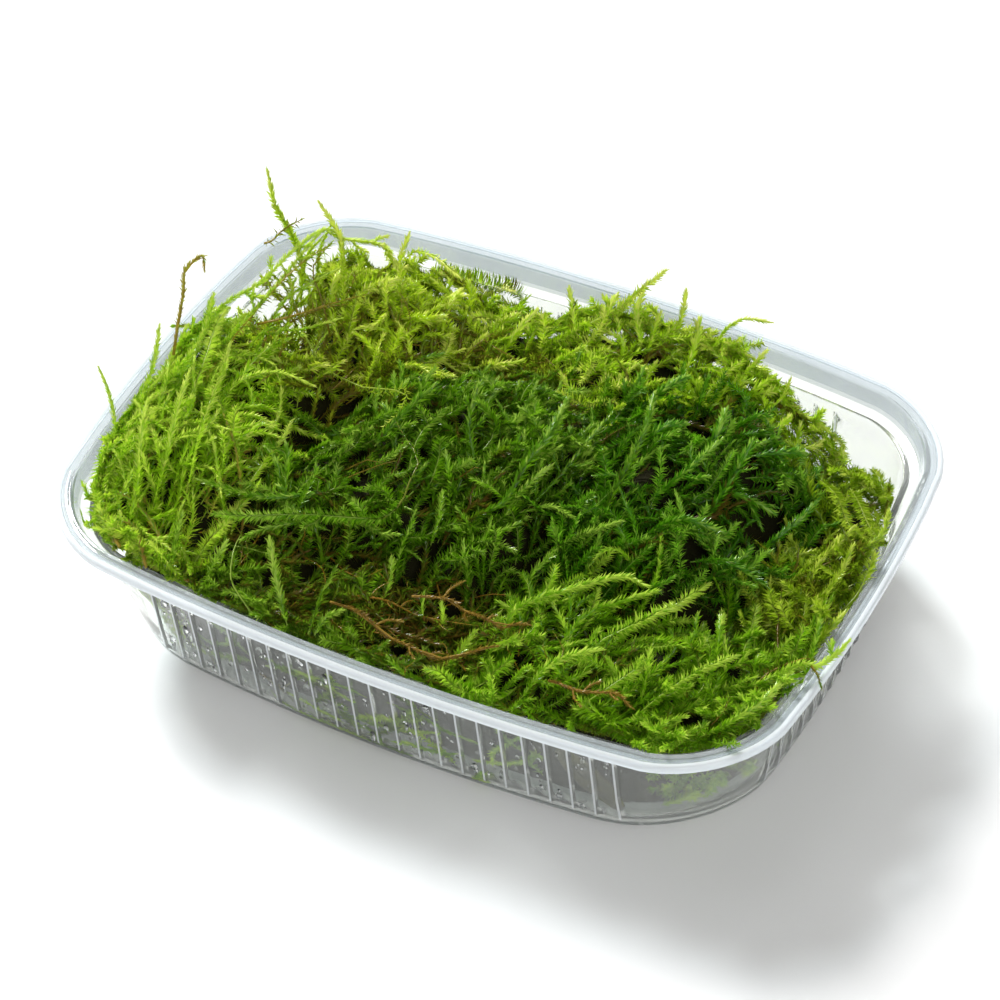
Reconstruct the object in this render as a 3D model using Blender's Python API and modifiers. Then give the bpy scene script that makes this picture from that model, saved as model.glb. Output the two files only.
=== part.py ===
"""A portion of leafy water moss, heaped by hand in a shallow clear tub with a ribbed wall.

Units are metres and +Z is up. The origin is the centre of the tub's underside.
+X runs along the tub's long side and -Y is the side that faces the viewer.
"""
import math
import random

import bmesh
import bpy
from mathutils import Vector, noise
from mathutils.bvhtree import BVHTree

MM = 0.001

# Tub outline at the flange: a rounded rectangle whose sides bow outward
TUB_HALF_LENGTH = 51.2 * MM
TUB_HALF_WIDTH = 36.6 * MM
CORNER_RADIUS = 13.5 * MM
END_BOW = 2.8 * MM
SIDE_BOW = 3.6 * MM

# Tub section: heights above the underside, and how far in from the flange's outer edge
TUB_HEIGHT = 21.6 * MM
LIP_DROP = 1.1 * MM
FLANGE_WIDTH = 2.3 * MM
LEDGE_HEIGHT = 18.7 * MM
LEDGE_INSET = 4.8 * MM
FOOT_INSET = 6.1 * MM
FOOT_RADIUS = 15.0 * MM
WALL = 0.7 * MM
EDGE = 0.3 * MM
SMALL_EDGE = 0.1 * MM
COLLAR_LEAN = 0.6 * MM

# Rounding between wall and floor: how far in from the wall's foot, and height above the underside
FOOT_ROUNDING = ((1.9 * MM, 0.0), (0.6 * MM, 0.4 * MM), (0.0, 1.6 * MM))
FLOOR_ROUNDING = ((0.7 * MM, 1.8 * MM), (1.2 * MM, 1.1 * MM), (2.2 * MM, 0.7 * MM))

# Upright ribs on the outside of the wall, counted each way from the middle of a side
RIB_PITCH = 3.06 * MM
RIB_WIDTH = 0.8 * MM
RIB_DEPTH = 0.35 * MM
RIB_BOTTOM = 2.0 * MM
SHORT_RIB_BOTTOM = 9.0 * MM
RIB_TOP = 17.2 * MM
RIB_CREST = 0.6
SIDE_RIBS = 11
END_RIBS = 6

# Steps of the tub's outline
CORNER_STEPS = 5
SIDE_STEPS = 6
END_STEPS = 4

# Clear gap between pieces that touch, and the distance at which points are merged
GAP = 0.35 * MM
MERGE = 0.003 * MM

# The space that moss may fill: how far in from the flange's edge, height, and corner radius
MOSS_SPACE = (
    (FOOT_INSET + 5.0 * MM, WALL + GAP, FOOT_RADIUS - 4.0 * MM),
    (FOOT_INSET + 2.6 * MM, 6.0 * MM, FOOT_RADIUS - 3.0 * MM),
    (LEDGE_INSET + 2.5 * MM, 14.0 * MM, CORNER_RADIUS - LEDGE_INSET + 1.0 * MM),
    (LEDGE_INSET + 0.8 * MM, LEDGE_HEIGHT + GAP, CORNER_RADIUS - LEDGE_INSET - 0.4 * MM),
    (FLANGE_WIDTH + 1.2 * MM, LEDGE_HEIGHT + GAP + 0.5 * MM, CORNER_RADIUS - FLANGE_WIDTH - 1.2 * MM),
    (FLANGE_WIDTH + 0.9 * MM, TUB_HEIGHT, CORNER_RADIUS - FLANGE_WIDTH - 0.9 * MM),
    (FLANGE_WIDTH + 4.5 * MM, TUB_HEIGHT + 3.5 * MM, CORNER_RADIUS),
    (FLANGE_WIDTH + 11.0 * MM, TUB_HEIGHT + 7.0 * MM, CORNER_RADIUS),
    (FLANGE_WIDTH + 20.0 * MM, TUB_HEIGHT + 9.5 * MM, CORNER_RADIUS),
)

# Moss handfuls, in millimetres: centre, half sizes, number of shoots, the heading in which
# the shoots are combed (degrees from +X), how far the headings spread, and the colour
TUFTS = {
    "back_left_tuft": ((-33, 17, 12), (18, 20, 18), 6, 70, 40, (0.16, 0.30, 0.03)),
    "left_tuft": ((-40, -12, 11), (15, 27, 17), 8, 84, 16, (0.25, 0.42, 0.04)),
    "middle_tuft": ((-8, -3, 11), (22, 20, 17), 8, 40, 60, (0.07, 0.20, 0.02)),
    "right_end_tuft": ((43, 4, 5), (12, 28, 14), 6, 100, 50, (0.15, 0.27, 0.03)),
    "right_tuft": ((22, 5, 11), (18, 20, 16), 8, 70, 40, (0.05, 0.17, 0.02)),
    "back_tuft": ((4, 24.5, 8.5), (34, 15, 13.6), 7, 45, 40, (0.15, 0.25, 0.04)),
    "front_tuft": ((27, -25, 8), (26, 18, 15), 8, 50, 35, (0.20, 0.40, 0.04)),
    "brown_thatch": ((-10, -29, 7), (26, 15, 15), 5, 15, 40, (0.18, 0.12, 0.03)),
}
LUMP_SUBDIVISIONS = 3
LUMP_ROUGHNESS = (0.16, 0.10)
LUMP_LUMPS = (2.2, 5.5)
LUMP_SQUARENESS = 0.68

# Shoots that are part of the tufts' silhouette
SHOOT_SEED = 11
SHOOT_POINTS = 6
LONG_POINTS = 8
SHOOT_LENGTH = (14 * MM, 24 * MM)
SHOOT_RADIUS = 1.45 * MM
TIP_RADIUS = 0.4 * MM
SHOOT_DEPTH = 2.0 * MM
SHOOT_RISE = (2.5 * MM, 6.0 * MM)
SHOOT_TURN = 9
SHOOT_SPREAD = 0.6
SHOOT_TRIES = 150

# Long shoots that stand out in the photograph, in millimetres from root to tip
LONG_SHOOTS = {
    "back_left_tuft": (
        ((-34, 14, 26), (-36, 13.5, 32), (-38.5, 13, 38), (-41, 15, 42), (-42.5, 16.3, 45)),
        ((-33, 14, 26), (-35.5, 17.5, 31), (-38, 21, 35.5), (-39, 23, 37)),
        ((-28, 22, 26), (-26, 24, 30), (-24.5, 26, 32), (-23, 27.5, 33)),
    ),
    "left_tuft": (
        ((-45, -3, 21), (-47.7, -3.7, 26), (-48.9, 0.7, 32), (-50.2, 4.5, 35.5), (-48, 6, 36.5)),
        ((-45, -19, 20), (-47.5, -18.5, 23.5), (-49.5, -16, 25), (-51.5, -14, 27), (-53.5, -12.5, 28.5)),
        ((-42, -17, 22), (-45, -16.4, 26), (-47.5, -9, 29.5), (-48.5, -4, 31.5)),
        ((-41, -5, 24), (-40, -2.5, 29.5), (-38, 1.5, 33), (-35, 7, 35), (-33, 13, 35.5), (-32.5, 17, 34.5)),
        ((-38, -5, 24), (-37, -1.5, 29.5), (-34, 4, 33), (-30.5, 9.5, 34), (-27, 15, 33)),
    ),
    "back_tuft": (
        ((-7, 24, 21), (-4, 25.5, 25), (0, 28.5, 27), (4, 33, 28.5), (6.6, 36.4, 29.5)),
        ((8, 28, 20), (9, 32, 23.5), (10.5, 34.5, 26.5), (11, 35.5, 28)),
        ((17, 29, 18), (18.4, 31, 24), (19.5, 34, 27), (21.5, 37, 27), (23, 39.5, 25.5)),
    ),
    "front_tuft": (
        ((44, -22, 16), (47, -19.5, 21), (50.5, -17, 24), (53, -14, 25), (55.5, -11, 25)),
        ((24, -29, 20), (26.5, -23.5, 25), (30.5, -18.5, 27), (35, -12, 26.5)),
    ),
}
LONG_RADIUS = 1.1 * MM

# Loose dead stems that lie on the front, in millimetres: where each runs seen from above
DEAD_STEMS = {
    "dead_stem_left": ((-7, -32.5), (-1, -33), (4, -33.5), (10, -32.5), (16, -30.5)),
    "dead_stem_middle": ((3, -29), (8, -27.5), (13, -28), (18, -26)),
    "dead_stem_right": ((24, -32.5), (28, -32.5), (32, -31), (35, -31.5)),
}
DEAD_RADIUS = 0.55 * MM
DEAD_CLEARANCE = 0.45 * MM
DEAD_POINTS = 10

# Olive leaf scrap caught between the moss and the near wall
SCRAP_CENTRE_X = 29.5 * MM
SCRAP_LENGTH = 13.0 * MM
SCRAP_WIDTH = 5.0 * MM
SCRAP_THICKNESS = 0.4 * MM
SCRAP_TURN = math.radians(-52)
SCRAP_HEIGHT = 8.8 * MM
SCRAP_CLEARANCE = 0.6 * MM


def clear_scene():
    """Removes what the open file holds, so that the script can be run again."""
    for old in list(bpy.data.objects):
        bpy.data.objects.remove(old, do_unlink=True)


def collection(name):
    """A collection of that name, linked to the scene."""
    group = bpy.data.collections.get(name)
    if group is None:
        group = bpy.data.collections.new(name)
        bpy.context.scene.collection.children.link(group)
    return group


def material(name, colour, roughness, transmission=0.0, ior=1.5):
    """A plain Principled material."""
    made = bpy.data.materials.new(name)
    made.use_nodes = True
    shader = made.node_tree.nodes["Principled BSDF"]
    shader.inputs["Base Color"].default_value = (*colour, 1.0)
    shader.inputs["Roughness"].default_value = roughness
    shader.inputs["Transmission Weight"].default_value = transmission
    shader.inputs["IOR"].default_value = ior
    made.diffuse_color = (*colour, 1.0)
    return made


def object_from_bmesh(name, bm, group, surface=None):
    """Makes a mesh object from a bmesh and frees the bmesh."""
    mesh = bpy.data.meshes.new(name)
    bm.to_mesh(mesh)
    bm.free()
    made = bpy.data.objects.new(name, mesh)
    group.objects.link(made)
    if surface is not None:
        mesh.materials.append(surface)
    return made


def boolean(target, operand, operation):
    """Applies one exact Boolean to the target and keeps its material."""
    step = target.modifiers.new(operation.lower(), "BOOLEAN")
    step.operation = operation
    step.solver = "EXACT"
    step.object = operand
    depsgraph = bpy.context.evaluated_depsgraph_get()
    old = target.data
    materials = list(old.materials)
    target.data = bpy.data.meshes.new_from_object(target.evaluated_get(depsgraph))
    target.modifiers.remove(step)
    target.data.materials.clear()
    for surface in materials:
        target.data.materials.append(surface)
    for face in target.data.polygons:
        face.material_index = 0
    name = old.name
    bpy.data.meshes.remove(old)
    target.data.name = name


def keep_largest_piece(target):
    """Drops the crumbs that a Boolean can leave beside the main body."""
    bm = bmesh.new()
    bm.from_mesh(target.data)
    left = set(bm.verts)
    bodies = []
    while left:
        body = [left.pop()]
        for vert in body:
            for edge in vert.link_edges:
                other = edge.other_vert(vert)
                if other in left:
                    left.remove(other)
                    body.append(other)
        bodies.append(body)
    bodies.sort(key=len)
    crumbs = [vert for body in bodies[:-1] for vert in body]
    bmesh.ops.delete(bm, geom=crumbs, context="VERTS")
    bm.to_mesh(target.data)
    bm.free()


def tidy(target):
    """Merges points that a Boolean left on each other and says whether the body is closed."""
    bm = bmesh.new()
    bm.from_mesh(target.data)
    bmesh.ops.remove_doubles(bm, verts=bm.verts, dist=MERGE)
    bmesh.ops.dissolve_degenerate(bm, edges=bm.edges, dist=MERGE)
    closed = all(edge.is_manifold for edge in bm.edges) and all(vert.is_manifold for vert in bm.verts)
    bm.to_mesh(target.data)
    bm.free()
    return closed


def volume_of(target):
    """The volume that an object's mesh encloses."""
    bm = bmesh.new()
    bm.from_mesh(target.data)
    volume = bm.calc_volume(signed=True)
    bm.free()
    return volume


def tube_mesh(name, points, radii, group):
    """A tapered round tube through the points, as a closed mesh object."""
    curve = bpy.data.curves.new(name, "CURVE")
    curve.dimensions = "3D"
    curve.fill_mode = "FULL"
    curve.bevel_depth = 1.0
    curve.bevel_resolution = 1
    curve.use_fill_caps = True
    line = curve.splines.new("POLY")
    line.points.add(len(points) - 1)
    for spot, place, radius in zip(line.points, points, radii):
        spot.co = (*place, 1.0)
        spot.radius = radius
    rod = bpy.data.objects.new(name, curve)
    group.objects.link(rod)
    depsgraph = bpy.context.evaluated_depsgraph_get()
    mesh = bpy.data.meshes.new_from_object(rod.evaluated_get(depsgraph))
    made = bpy.data.objects.new(name + "_mesh", mesh)
    made.matrix_world = rod.matrix_world
    group.objects.link(made)
    bpy.data.objects.remove(rod, do_unlink=True)
    bpy.data.curves.remove(curve)
    bm = bmesh.new()
    bm.from_mesh(mesh)
    bmesh.ops.remove_doubles(bm, verts=bm.verts, dist=0.005 * MM)
    bmesh.ops.recalc_face_normals(bm, faces=bm.faces)
    bm.to_mesh(mesh)
    bm.free()
    return made


def smooth_line(corners, count):
    """Points at even steps of a smooth curve through the corners."""
    spots = [Vector(corner) for corner in corners]
    spots = [2 * spots[0] - spots[1], *spots, 2 * spots[-1] - spots[-2]]
    spans = len(spots) - 3
    line = []
    for step in range(count):
        place = step / (count - 1) * spans
        span = min(int(place), spans - 1)
        t = place - span
        before, start, end, after = spots[span:span + 4]
        line.append(
            0.5 * (
                2 * start
                + (end - before) * t
                + (2 * before - 5 * start + 4 * end - after) * t ** 2
                + (3 * start - before - 3 * end + after) * t ** 3
            )
        )
    return line


def tub_outline(inset, height, radius):
    """One level of the tub: a rounded rectangle with bowed sides."""
    half_length = TUB_HALF_LENGTH - inset
    half_width = TUB_HALF_WIDTH - inset
    flat = []
    for quarter in range(4):
        side = 1 if quarter in (0, 3) else -1
        front = 1 if quarter in (0, 1) else -1
        centre = Vector((side * (half_length - radius), front * (half_width - radius)))
        for step in range(CORNER_STEPS + 1):
            angle = (quarter + step / CORNER_STEPS) * math.pi / 2
            flat.append(centre + radius * Vector((math.cos(angle), math.sin(angle))))
        mirror = Vector((-1, 1)) if quarter in (0, 2) else Vector((1, -1))
        start = flat[-1]
        end = start * mirror
        steps = SIDE_STEPS if quarter in (0, 2) else END_STEPS
        for step in range(1, steps):
            flat.append(start.lerp(end, step / steps))
    level = []
    for x, y in flat:
        bow_x = math.copysign(END_BOW * (1 - (y / half_width) ** 2), x)
        bow_y = math.copysign(SIDE_BOW * (1 - (x / half_length) ** 2), y)
        level.append(Vector((x + bow_x, y + bow_y, height)))
    return level


def loft(levels):
    """A closed body through outlines with equal numbers of points, capped at both ends."""
    bm = bmesh.new()
    rings = [[bm.verts.new(point) for point in tub_outline(*level)] for level in levels]
    count = len(rings[0])
    for low, high in zip(rings, rings[1:]):
        for here in range(count):
            after = (here + 1) % count
            bm.faces.new((low[here], low[after], high[after], high[here]))
    bm.faces.new(reversed(rings[0]))
    bm.faces.new(rings[-1])
    return bm


def wall_inset(height):
    """How far in the outside of the wall lies at a height."""
    drop = (LEDGE_HEIGHT - WALL - height) / (LEDGE_HEIGHT - WALL)
    return LEDGE_INSET - WALL + (FOOT_INSET - LEDGE_INSET + WALL) * drop


def tub_levels():
    """The tub's section as levels, from the underside up the outside and down the inside."""
    ledge_radius = CORNER_RADIUS - LEDGE_INSET
    top = TUB_HEIGHT
    foot = wall_inset(FOOT_ROUNDING[-1][1])
    levels = [(foot + inset, height, FOOT_RADIUS - inset) for inset, height in FOOT_ROUNDING]
    levels += [
        (LEDGE_INSET - WALL, LEDGE_HEIGHT - WALL, ledge_radius + WALL),
        (FLANGE_WIDTH + SMALL_EDGE, LEDGE_HEIGHT - WALL + SMALL_EDGE, CORNER_RADIUS - FLANGE_WIDTH),
        (FLANGE_WIDTH - COLLAR_LEAN, top - WALL, CORNER_RADIUS - FLANGE_WIDTH + WALL),
        (WALL, top - WALL, CORNER_RADIUS - WALL),
        (WALL, top - LIP_DROP, CORNER_RADIUS - WALL),
        (0.0, top - LIP_DROP, CORNER_RADIUS),
        (0.0, top - EDGE, CORNER_RADIUS),
        (EDGE, top, CORNER_RADIUS - EDGE),
        (FLANGE_WIDTH - EDGE, top, CORNER_RADIUS - FLANGE_WIDTH),
        (FLANGE_WIDTH, top - EDGE, CORNER_RADIUS - FLANGE_WIDTH - SMALL_EDGE),
        (FLANGE_WIDTH + COLLAR_LEAN, LEDGE_HEIGHT + SMALL_EDGE, CORNER_RADIUS - FLANGE_WIDTH - COLLAR_LEAN),
        (LEDGE_INSET - SMALL_EDGE, LEDGE_HEIGHT, ledge_radius + SMALL_EDGE),
        (LEDGE_INSET + SMALL_EDGE, LEDGE_HEIGHT - EDGE, ledge_radius),
    ]
    levels += [(foot + inset, height, FOOT_RADIUS - inset) for inset, height in FLOOR_ROUNDING]
    return levels


def rib_block(along_side, offset, sign):
    """One tapered rib on the outside of the wall, sunk into it by half the wall."""
    half = TUB_HALF_LENGTH if along_side else TUB_HALF_WIDTH
    reaches_foot = abs(offset) < half - FOOT_INSET - FOOT_RADIUS + RIB_WIDTH
    bottom = RIB_BOTTOM if reaches_foot else SHORT_RIB_BOTTOM
    bm = bmesh.new()
    bmesh.ops.create_cube(bm, size=1.0)
    for vert in bm.verts:
        height = RIB_TOP if vert.co.z > 0 else bottom
        inset = wall_inset(height)
        outward = RIB_DEPTH if vert.co.y > 0 else -0.5 * WALL
        width = RIB_WIDTH * (RIB_CREST if vert.co.y > 0 else 1.0)
        along = offset + vert.co.x * width
        if along_side:
            bow = SIDE_BOW * (1 - (offset / (TUB_HALF_LENGTH - inset)) ** 2)
            out = TUB_HALF_WIDTH - inset + bow + outward
            vert.co = (along, sign * out, height)
        else:
            bow = END_BOW * (1 - (offset / (TUB_HALF_WIDTH - inset)) ** 2)
            out = TUB_HALF_LENGTH - inset + bow + outward
            vert.co = (sign * out, along, height)
    bmesh.ops.recalc_face_normals(bm, faces=bm.faces)
    return bm


def make_tub(parts, cutters):
    """The moulded tub with its ribs."""
    surface = material("clear_polypropylene", (0.86, 0.90, 0.92), 0.22, 0.9, 1.49)
    tub = object_from_bmesh("tub", loft(tub_levels()), parts, surface)
    spots = [(True, number * RIB_PITCH) for number in range(-SIDE_RIBS, SIDE_RIBS + 1)]
    spots += [(False, number * RIB_PITCH) for number in range(-END_RIBS, END_RIBS + 1)]
    ribs = bmesh.new()
    for along_side, offset in spots:
        for sign in (-1, 1):
            block = rib_block(along_side, offset, sign)
            mesh = bpy.data.meshes.new("rib")
            block.to_mesh(mesh)
            block.free()
            ribs.from_mesh(mesh)
            bpy.data.meshes.remove(mesh)
    operand = object_from_bmesh("rib_blocks", ribs, cutters)
    boolean(tub, operand, "UNION")
    bpy.data.objects.remove(operand, do_unlink=True)
    tub.data.shade_smooth()
    tub.data.set_sharp_from_angle(angle=math.radians(30))
    return tub


def moss_space(cutters):
    """The space that the moss may fill: the tub's inside, drawn in toward the floor."""
    return object_from_bmesh("moss_space", loft(MOSS_SPACE), cutters)


def lump(name, centre, half_sizes, group, surface=None, grow=0.0):
    """One rough rounded handful of moss."""
    bm = bmesh.new()
    bmesh.ops.create_icosphere(bm, subdivisions=LUMP_SUBDIVISIONS, radius=1.0)
    middle = Vector(centre) * MM
    for vert in bm.verts:
        direction = vert.co.normalized()
        swell = 1.0
        for rough, lumps in zip(LUMP_ROUGHNESS, LUMP_LUMPS):
            swell += rough * noise.noise(direction * lumps + middle / (10 * MM))
        reach = Vector(half_sizes) * MM * swell + Vector((grow, grow, grow))
        squared = Vector([math.copysign(abs(part) ** LUMP_SQUARENESS, part) for part in direction])
        vert.co = middle + squared * reach
    return object_from_bmesh(name, bm, group, surface)


def tree_of(target):
    """A search tree over an object's triangles."""
    bm = bmesh.new()
    bm.from_mesh(target.data)
    tree = BVHTree.FromBMesh(bm)
    bm.free()
    return tree


def ground_height(trees, x, y):
    """The highest surface under a place, or None beside the moss."""
    start = Vector((x, y, 60 * MM))
    hits = [tree.ray_cast(start, Vector((0, 0, -1)))[0] for tree in trees]
    heights = [hit.z for hit in hits if hit is not None]
    return max(heights) if heights else None


def shoot_line(draw, tuft, trees):
    """A line for one shoot: it leaves its handful, lies along the heap and lifts its tip."""
    centre, half_sizes, _, comb, spread, _ = TUFTS[tuft]
    around = draw.uniform(0, 2 * math.pi)
    out = math.sqrt(draw.uniform(0, SHOOT_SPREAD))
    x = (centre[0] + half_sizes[0] * out * math.cos(around)) * MM
    y = (centre[1] + half_sizes[1] * out * math.sin(around)) * MM
    heading = math.radians(draw.gauss(comb, spread / 2))
    turn = math.radians(draw.uniform(-SHOOT_TURN, SHOOT_TURN))
    step = draw.uniform(*SHOOT_LENGTH) / (SHOOT_POINTS - 1)
    rise = draw.uniform(*SHOOT_RISE)
    line = []
    for number in range(SHOOT_POINTS):
        t = number / (SHOOT_POINTS - 1)
        ground = ground_height(trees, x, y)
        if ground is None:
            return None
        height = ground - SHOOT_DEPTH * (1 - t) ** 2 + rise * t ** 1.3
        line.append(Vector((x, y, height)))
        x += step * math.cos(heading)
        y += step * math.sin(heading)
        heading += turn
    return line


def shoot_radii(root_radius, count):
    """Radii from a shoot's root to its tip."""
    radii = []
    for number in range(count):
        t = number / (count - 1)
        radii.append(root_radius + (TIP_RADIUS - root_radius) * t ** 1.5)
    return radii


def clears(rod, others):
    """True where a rod stays off all the other trees."""
    tree = tree_of(rod)
    return not any(tree.overlap(other) for other in others)


def swollen_tube(name, line, radii, group):
    """The same tube, thicker by the gap that pieces keep."""
    return tube_mesh(name, line, [radius + GAP for radius in radii], group)


def add_shoot(tuft, line, root_radius, others, cutters):
    """Fuses one shoot to its tuft if it keeps its gap to the other pieces."""
    radii = shoot_radii(root_radius, len(line))
    guard = swollen_tube("guard", line, radii, cutters)
    free = clears(guard, others)
    bpy.data.objects.remove(guard, do_unlink=True)
    if not free:
        return False
    rod = tube_mesh("shoot", line, radii, cutters)
    before = tuft.data.copy()
    volume = volume_of(tuft)
    boolean(tuft, rod, "UNION")
    bpy.data.objects.remove(rod, do_unlink=True)
    if tidy(tuft) and volume_of(tuft) > volume:
        return True
    tuft.data = before
    return False


def make_tufts(tub, parts, cutters):
    """The handfuls of moss, each shaped by the tub and by the ones placed before it."""
    space = moss_space(cutters)
    tufts = {}
    for name, (centre, half_sizes, _, _, _, colour) in TUFTS.items():
        surface = material(name + "_leaves", colour, 0.45)
        tuft = lump(name, centre, half_sizes, parts, surface)
        boolean(tuft, space, "INTERSECT")
        for earlier in tufts:
            place, sizes = TUFTS[earlier][:2]
            operand = lump("earlier_lump", place, sizes, cutters, None, GAP)
            boolean(tuft, operand, "DIFFERENCE")
            bpy.data.objects.remove(operand, do_unlink=True)
        keep_largest_piece(tuft)
        if not tidy(tuft):
            print("open edges on", name)
        tufts[name] = tuft
    bpy.data.objects.remove(space, do_unlink=True)
    draw = random.Random(SHOOT_SEED)
    tub_tree = tree_of(tub)
    lumps = {name: tree_of(tuft) for name, tuft in tufts.items()}
    for name, tuft in tufts.items():
        others = [tub_tree] + [tree_of(other) for key, other in tufts.items() if key != name]
        for corners in LONG_SHOOTS.get(name, ()):
            line = smooth_line([Vector(corner) * MM for corner in corners], LONG_POINTS)
            if not add_shoot(tuft, line, LONG_RADIUS, others, cutters):
                print("long shoot left out of", name, corners[-1])
        made = 0
        for _ in range(SHOOT_TRIES):
            if made == TUFTS[name][2]:
                break
            line = shoot_line(draw, name, list(lumps.values()))
            if line is not None:
                made += add_shoot(tuft, line, SHOOT_RADIUS, others, cutters)
        print(name, "shoots", made)
        keep_largest_piece(tuft)
    return tufts


def height_to_clear(trees, spot):
    """The lowest height at which a dead stem passes over everything close to a spot."""
    heights = []
    for ring in (0.0, DEAD_RADIUS, 2 * DEAD_RADIUS, 3 * DEAD_RADIUS):
        for angle in range(0, 360, 30):
            turn = math.radians(angle)
            height = ground_height(trees, spot.x + ring * math.cos(turn), spot.y + ring * math.sin(turn))
            if height is not None:
                heights.append(height)
    return max(heights) + DEAD_RADIUS + DEAD_CLEARANCE


def make_dead_stems(tufts, parts):
    """Loose brown stems that lie on the front of the heap."""
    surface = material("dead_stem", (0.30, 0.14, 0.03), 0.6)
    trees = [tree_of(tuft) for tuft in tufts.values()]
    for name, corners in DEAD_STEMS.items():
        line = smooth_line([Vector((*corner, 0)) * MM for corner in corners], DEAD_POINTS)
        for spot in line:
            spot.z = height_to_clear(trees, spot)
        stem = tube_mesh(name, line, [DEAD_RADIUS] * len(line), parts)
        stem.name = name
        stem.data.materials.append(surface)


def make_leaf_scrap(parts):
    """A broad olive leaf, bent to the inside of the near wall."""
    surface = material("olive_leaf", (0.16, 0.15, 0.03), 0.5)
    outline = [
        (0.5 * SCRAP_LENGTH * math.cos(turn), 0.5 * SCRAP_WIDTH * math.sin(turn))
        for turn in (math.radians(angle) for angle in range(0, 360, 30))
    ]
    bm = bmesh.new()
    ring = [bm.verts.new((x, y, 0)) for x, y in outline]
    face = bm.faces.new(ring)
    bmesh.ops.poke(bm, faces=[face])
    for vert in bm.verts:
        turned_x = vert.co.x * math.cos(SCRAP_TURN) - vert.co.y * math.sin(SCRAP_TURN)
        turned_z = vert.co.x * math.sin(SCRAP_TURN) + vert.co.y * math.cos(SCRAP_TURN)
        x = SCRAP_CENTRE_X + turned_x
        z = SCRAP_HEIGHT + turned_z
        inset = wall_inset(z) + WALL + SCRAP_CLEARANCE
        bow = SIDE_BOW * (1 - (x / (TUB_HALF_LENGTH - inset)) ** 2)
        vert.co = (x, -(TUB_HALF_WIDTH - inset + bow), z)
    scrap = object_from_bmesh("olive_leaf_scrap", bm, parts, surface)
    skin = scrap.modifiers.new("thickness", "SOLIDIFY")
    skin.thickness = SCRAP_THICKNESS
    skin.offset = -1.0


def main():
    clear_scene()
    parts = collection("moss_clump")
    cutters = collection("cutters")
    tub = make_tub(parts, cutters)
    tufts = make_tufts(tub, parts, cutters)
    make_dead_stems(tufts, parts)
    make_leaf_scrap(parts)
    for made in parts.objects:
        print(made.name, "triangles", sum(len(face.vertices) - 2 for face in made.data.polygons))


main()
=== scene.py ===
"""The looks of a portion of leafy water moss, heaped by hand in a shallow clear tub.

Metres, +Z up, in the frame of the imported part: the origin is the centre of the tub's underside,
+X runs along the tub's long side and -Y is the side that faces the viewer.
"""
import collections
import math

import bmesh
import bpy
import numpy as np
from mathutils import Matrix, Vector, noise
from mathutils.bvhtree import BVHTree


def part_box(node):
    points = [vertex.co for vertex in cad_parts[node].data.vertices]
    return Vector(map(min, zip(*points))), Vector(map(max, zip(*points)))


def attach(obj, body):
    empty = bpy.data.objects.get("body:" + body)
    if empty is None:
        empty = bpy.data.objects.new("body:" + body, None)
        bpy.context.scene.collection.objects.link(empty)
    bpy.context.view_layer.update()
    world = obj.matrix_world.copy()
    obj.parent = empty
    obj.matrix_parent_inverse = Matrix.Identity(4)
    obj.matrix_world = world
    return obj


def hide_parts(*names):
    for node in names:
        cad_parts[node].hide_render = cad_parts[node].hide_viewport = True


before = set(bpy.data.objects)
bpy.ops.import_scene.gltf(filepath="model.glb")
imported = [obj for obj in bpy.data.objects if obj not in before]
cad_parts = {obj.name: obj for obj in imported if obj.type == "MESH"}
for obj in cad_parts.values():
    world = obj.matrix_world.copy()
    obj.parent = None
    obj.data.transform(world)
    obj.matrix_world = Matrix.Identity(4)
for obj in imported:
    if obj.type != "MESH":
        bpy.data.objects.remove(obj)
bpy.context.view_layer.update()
MM = 0.001

# Tub
# One moulded piece of clear polypropylene, slightly milky: a flat foot, a tapered wall with
# fine upright ribs outside, a step, a collar, and a flange with two beads and a turned-down lip.
# Sizes are in mm, apart from those that are multiplied by MM, which are in metres
tub_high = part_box("tub")[1]
END_BOW = 2.8 * MM
SIDE_BOW = 3.6 * MM
HALF_LENGTH = tub_high.x - END_BOW
HALF_WIDTH = tub_high.y - SIDE_BOW
RIM_HEIGHT = tub_high.z
CORNER_RADIUS = 13.5
FOOT_RADIUS = 15.0
FOOT_INSET = 6.1
FOOT_HEIGHT = 1.6
LEDGE_HEIGHT = 18.7
LEDGE_INSET = 4.8
WALL = 0.7
RIB_PITCH = 3.06
RIB_HALF = 0.36
RIB_CREST = 0.14
RIB_DEPTH = 0.35
SIDE_RIBS = 11
END_RIBS = 6
CORNER_STEPS = 14


def wall_inset(z):
    """How far in from the flange's edge the outside of the wall lies, in mm, at a height in mm."""
    drop = (LEDGE_HEIGHT - WALL - z) / (LEDGE_HEIGHT - WALL)
    return LEDGE_INSET - WALL + (FOOT_INSET - LEDGE_INSET + WALL) * drop


def wall_radius(z):
    """The corner radius of the outside of the wall, in mm, at a height in mm."""
    low, high = FOOT_HEIGHT, LEDGE_HEIGHT - WALL
    share = min(max((z - low) / (high - low), 0), 1)
    return FOOT_RADIUS + (CORNER_RADIUS - LEDGE_INSET + WALL - FOOT_RADIUS) * share


def bowed_wall(along, half, half_length, bow):
    """How far out a wall that bows lies at a place along it. All four are in mm."""
    return half + bow * (1 - (along / half_length) ** 2)


def rib_stations(ribs):
    """Places along half a side, from its middle, with how far each is up the crest of a rib."""
    stations = [(RIB_CREST, 1), (RIB_HALF, 0)]
    for number in range(1, ribs + 1):
        middle = number * RIB_PITCH
        stations += [(middle - RIB_HALF, 0), (middle - RIB_CREST, 1)]
        stations += [(middle + RIB_CREST, 1), (middle + RIB_HALF, 0)]
    return stations


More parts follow.
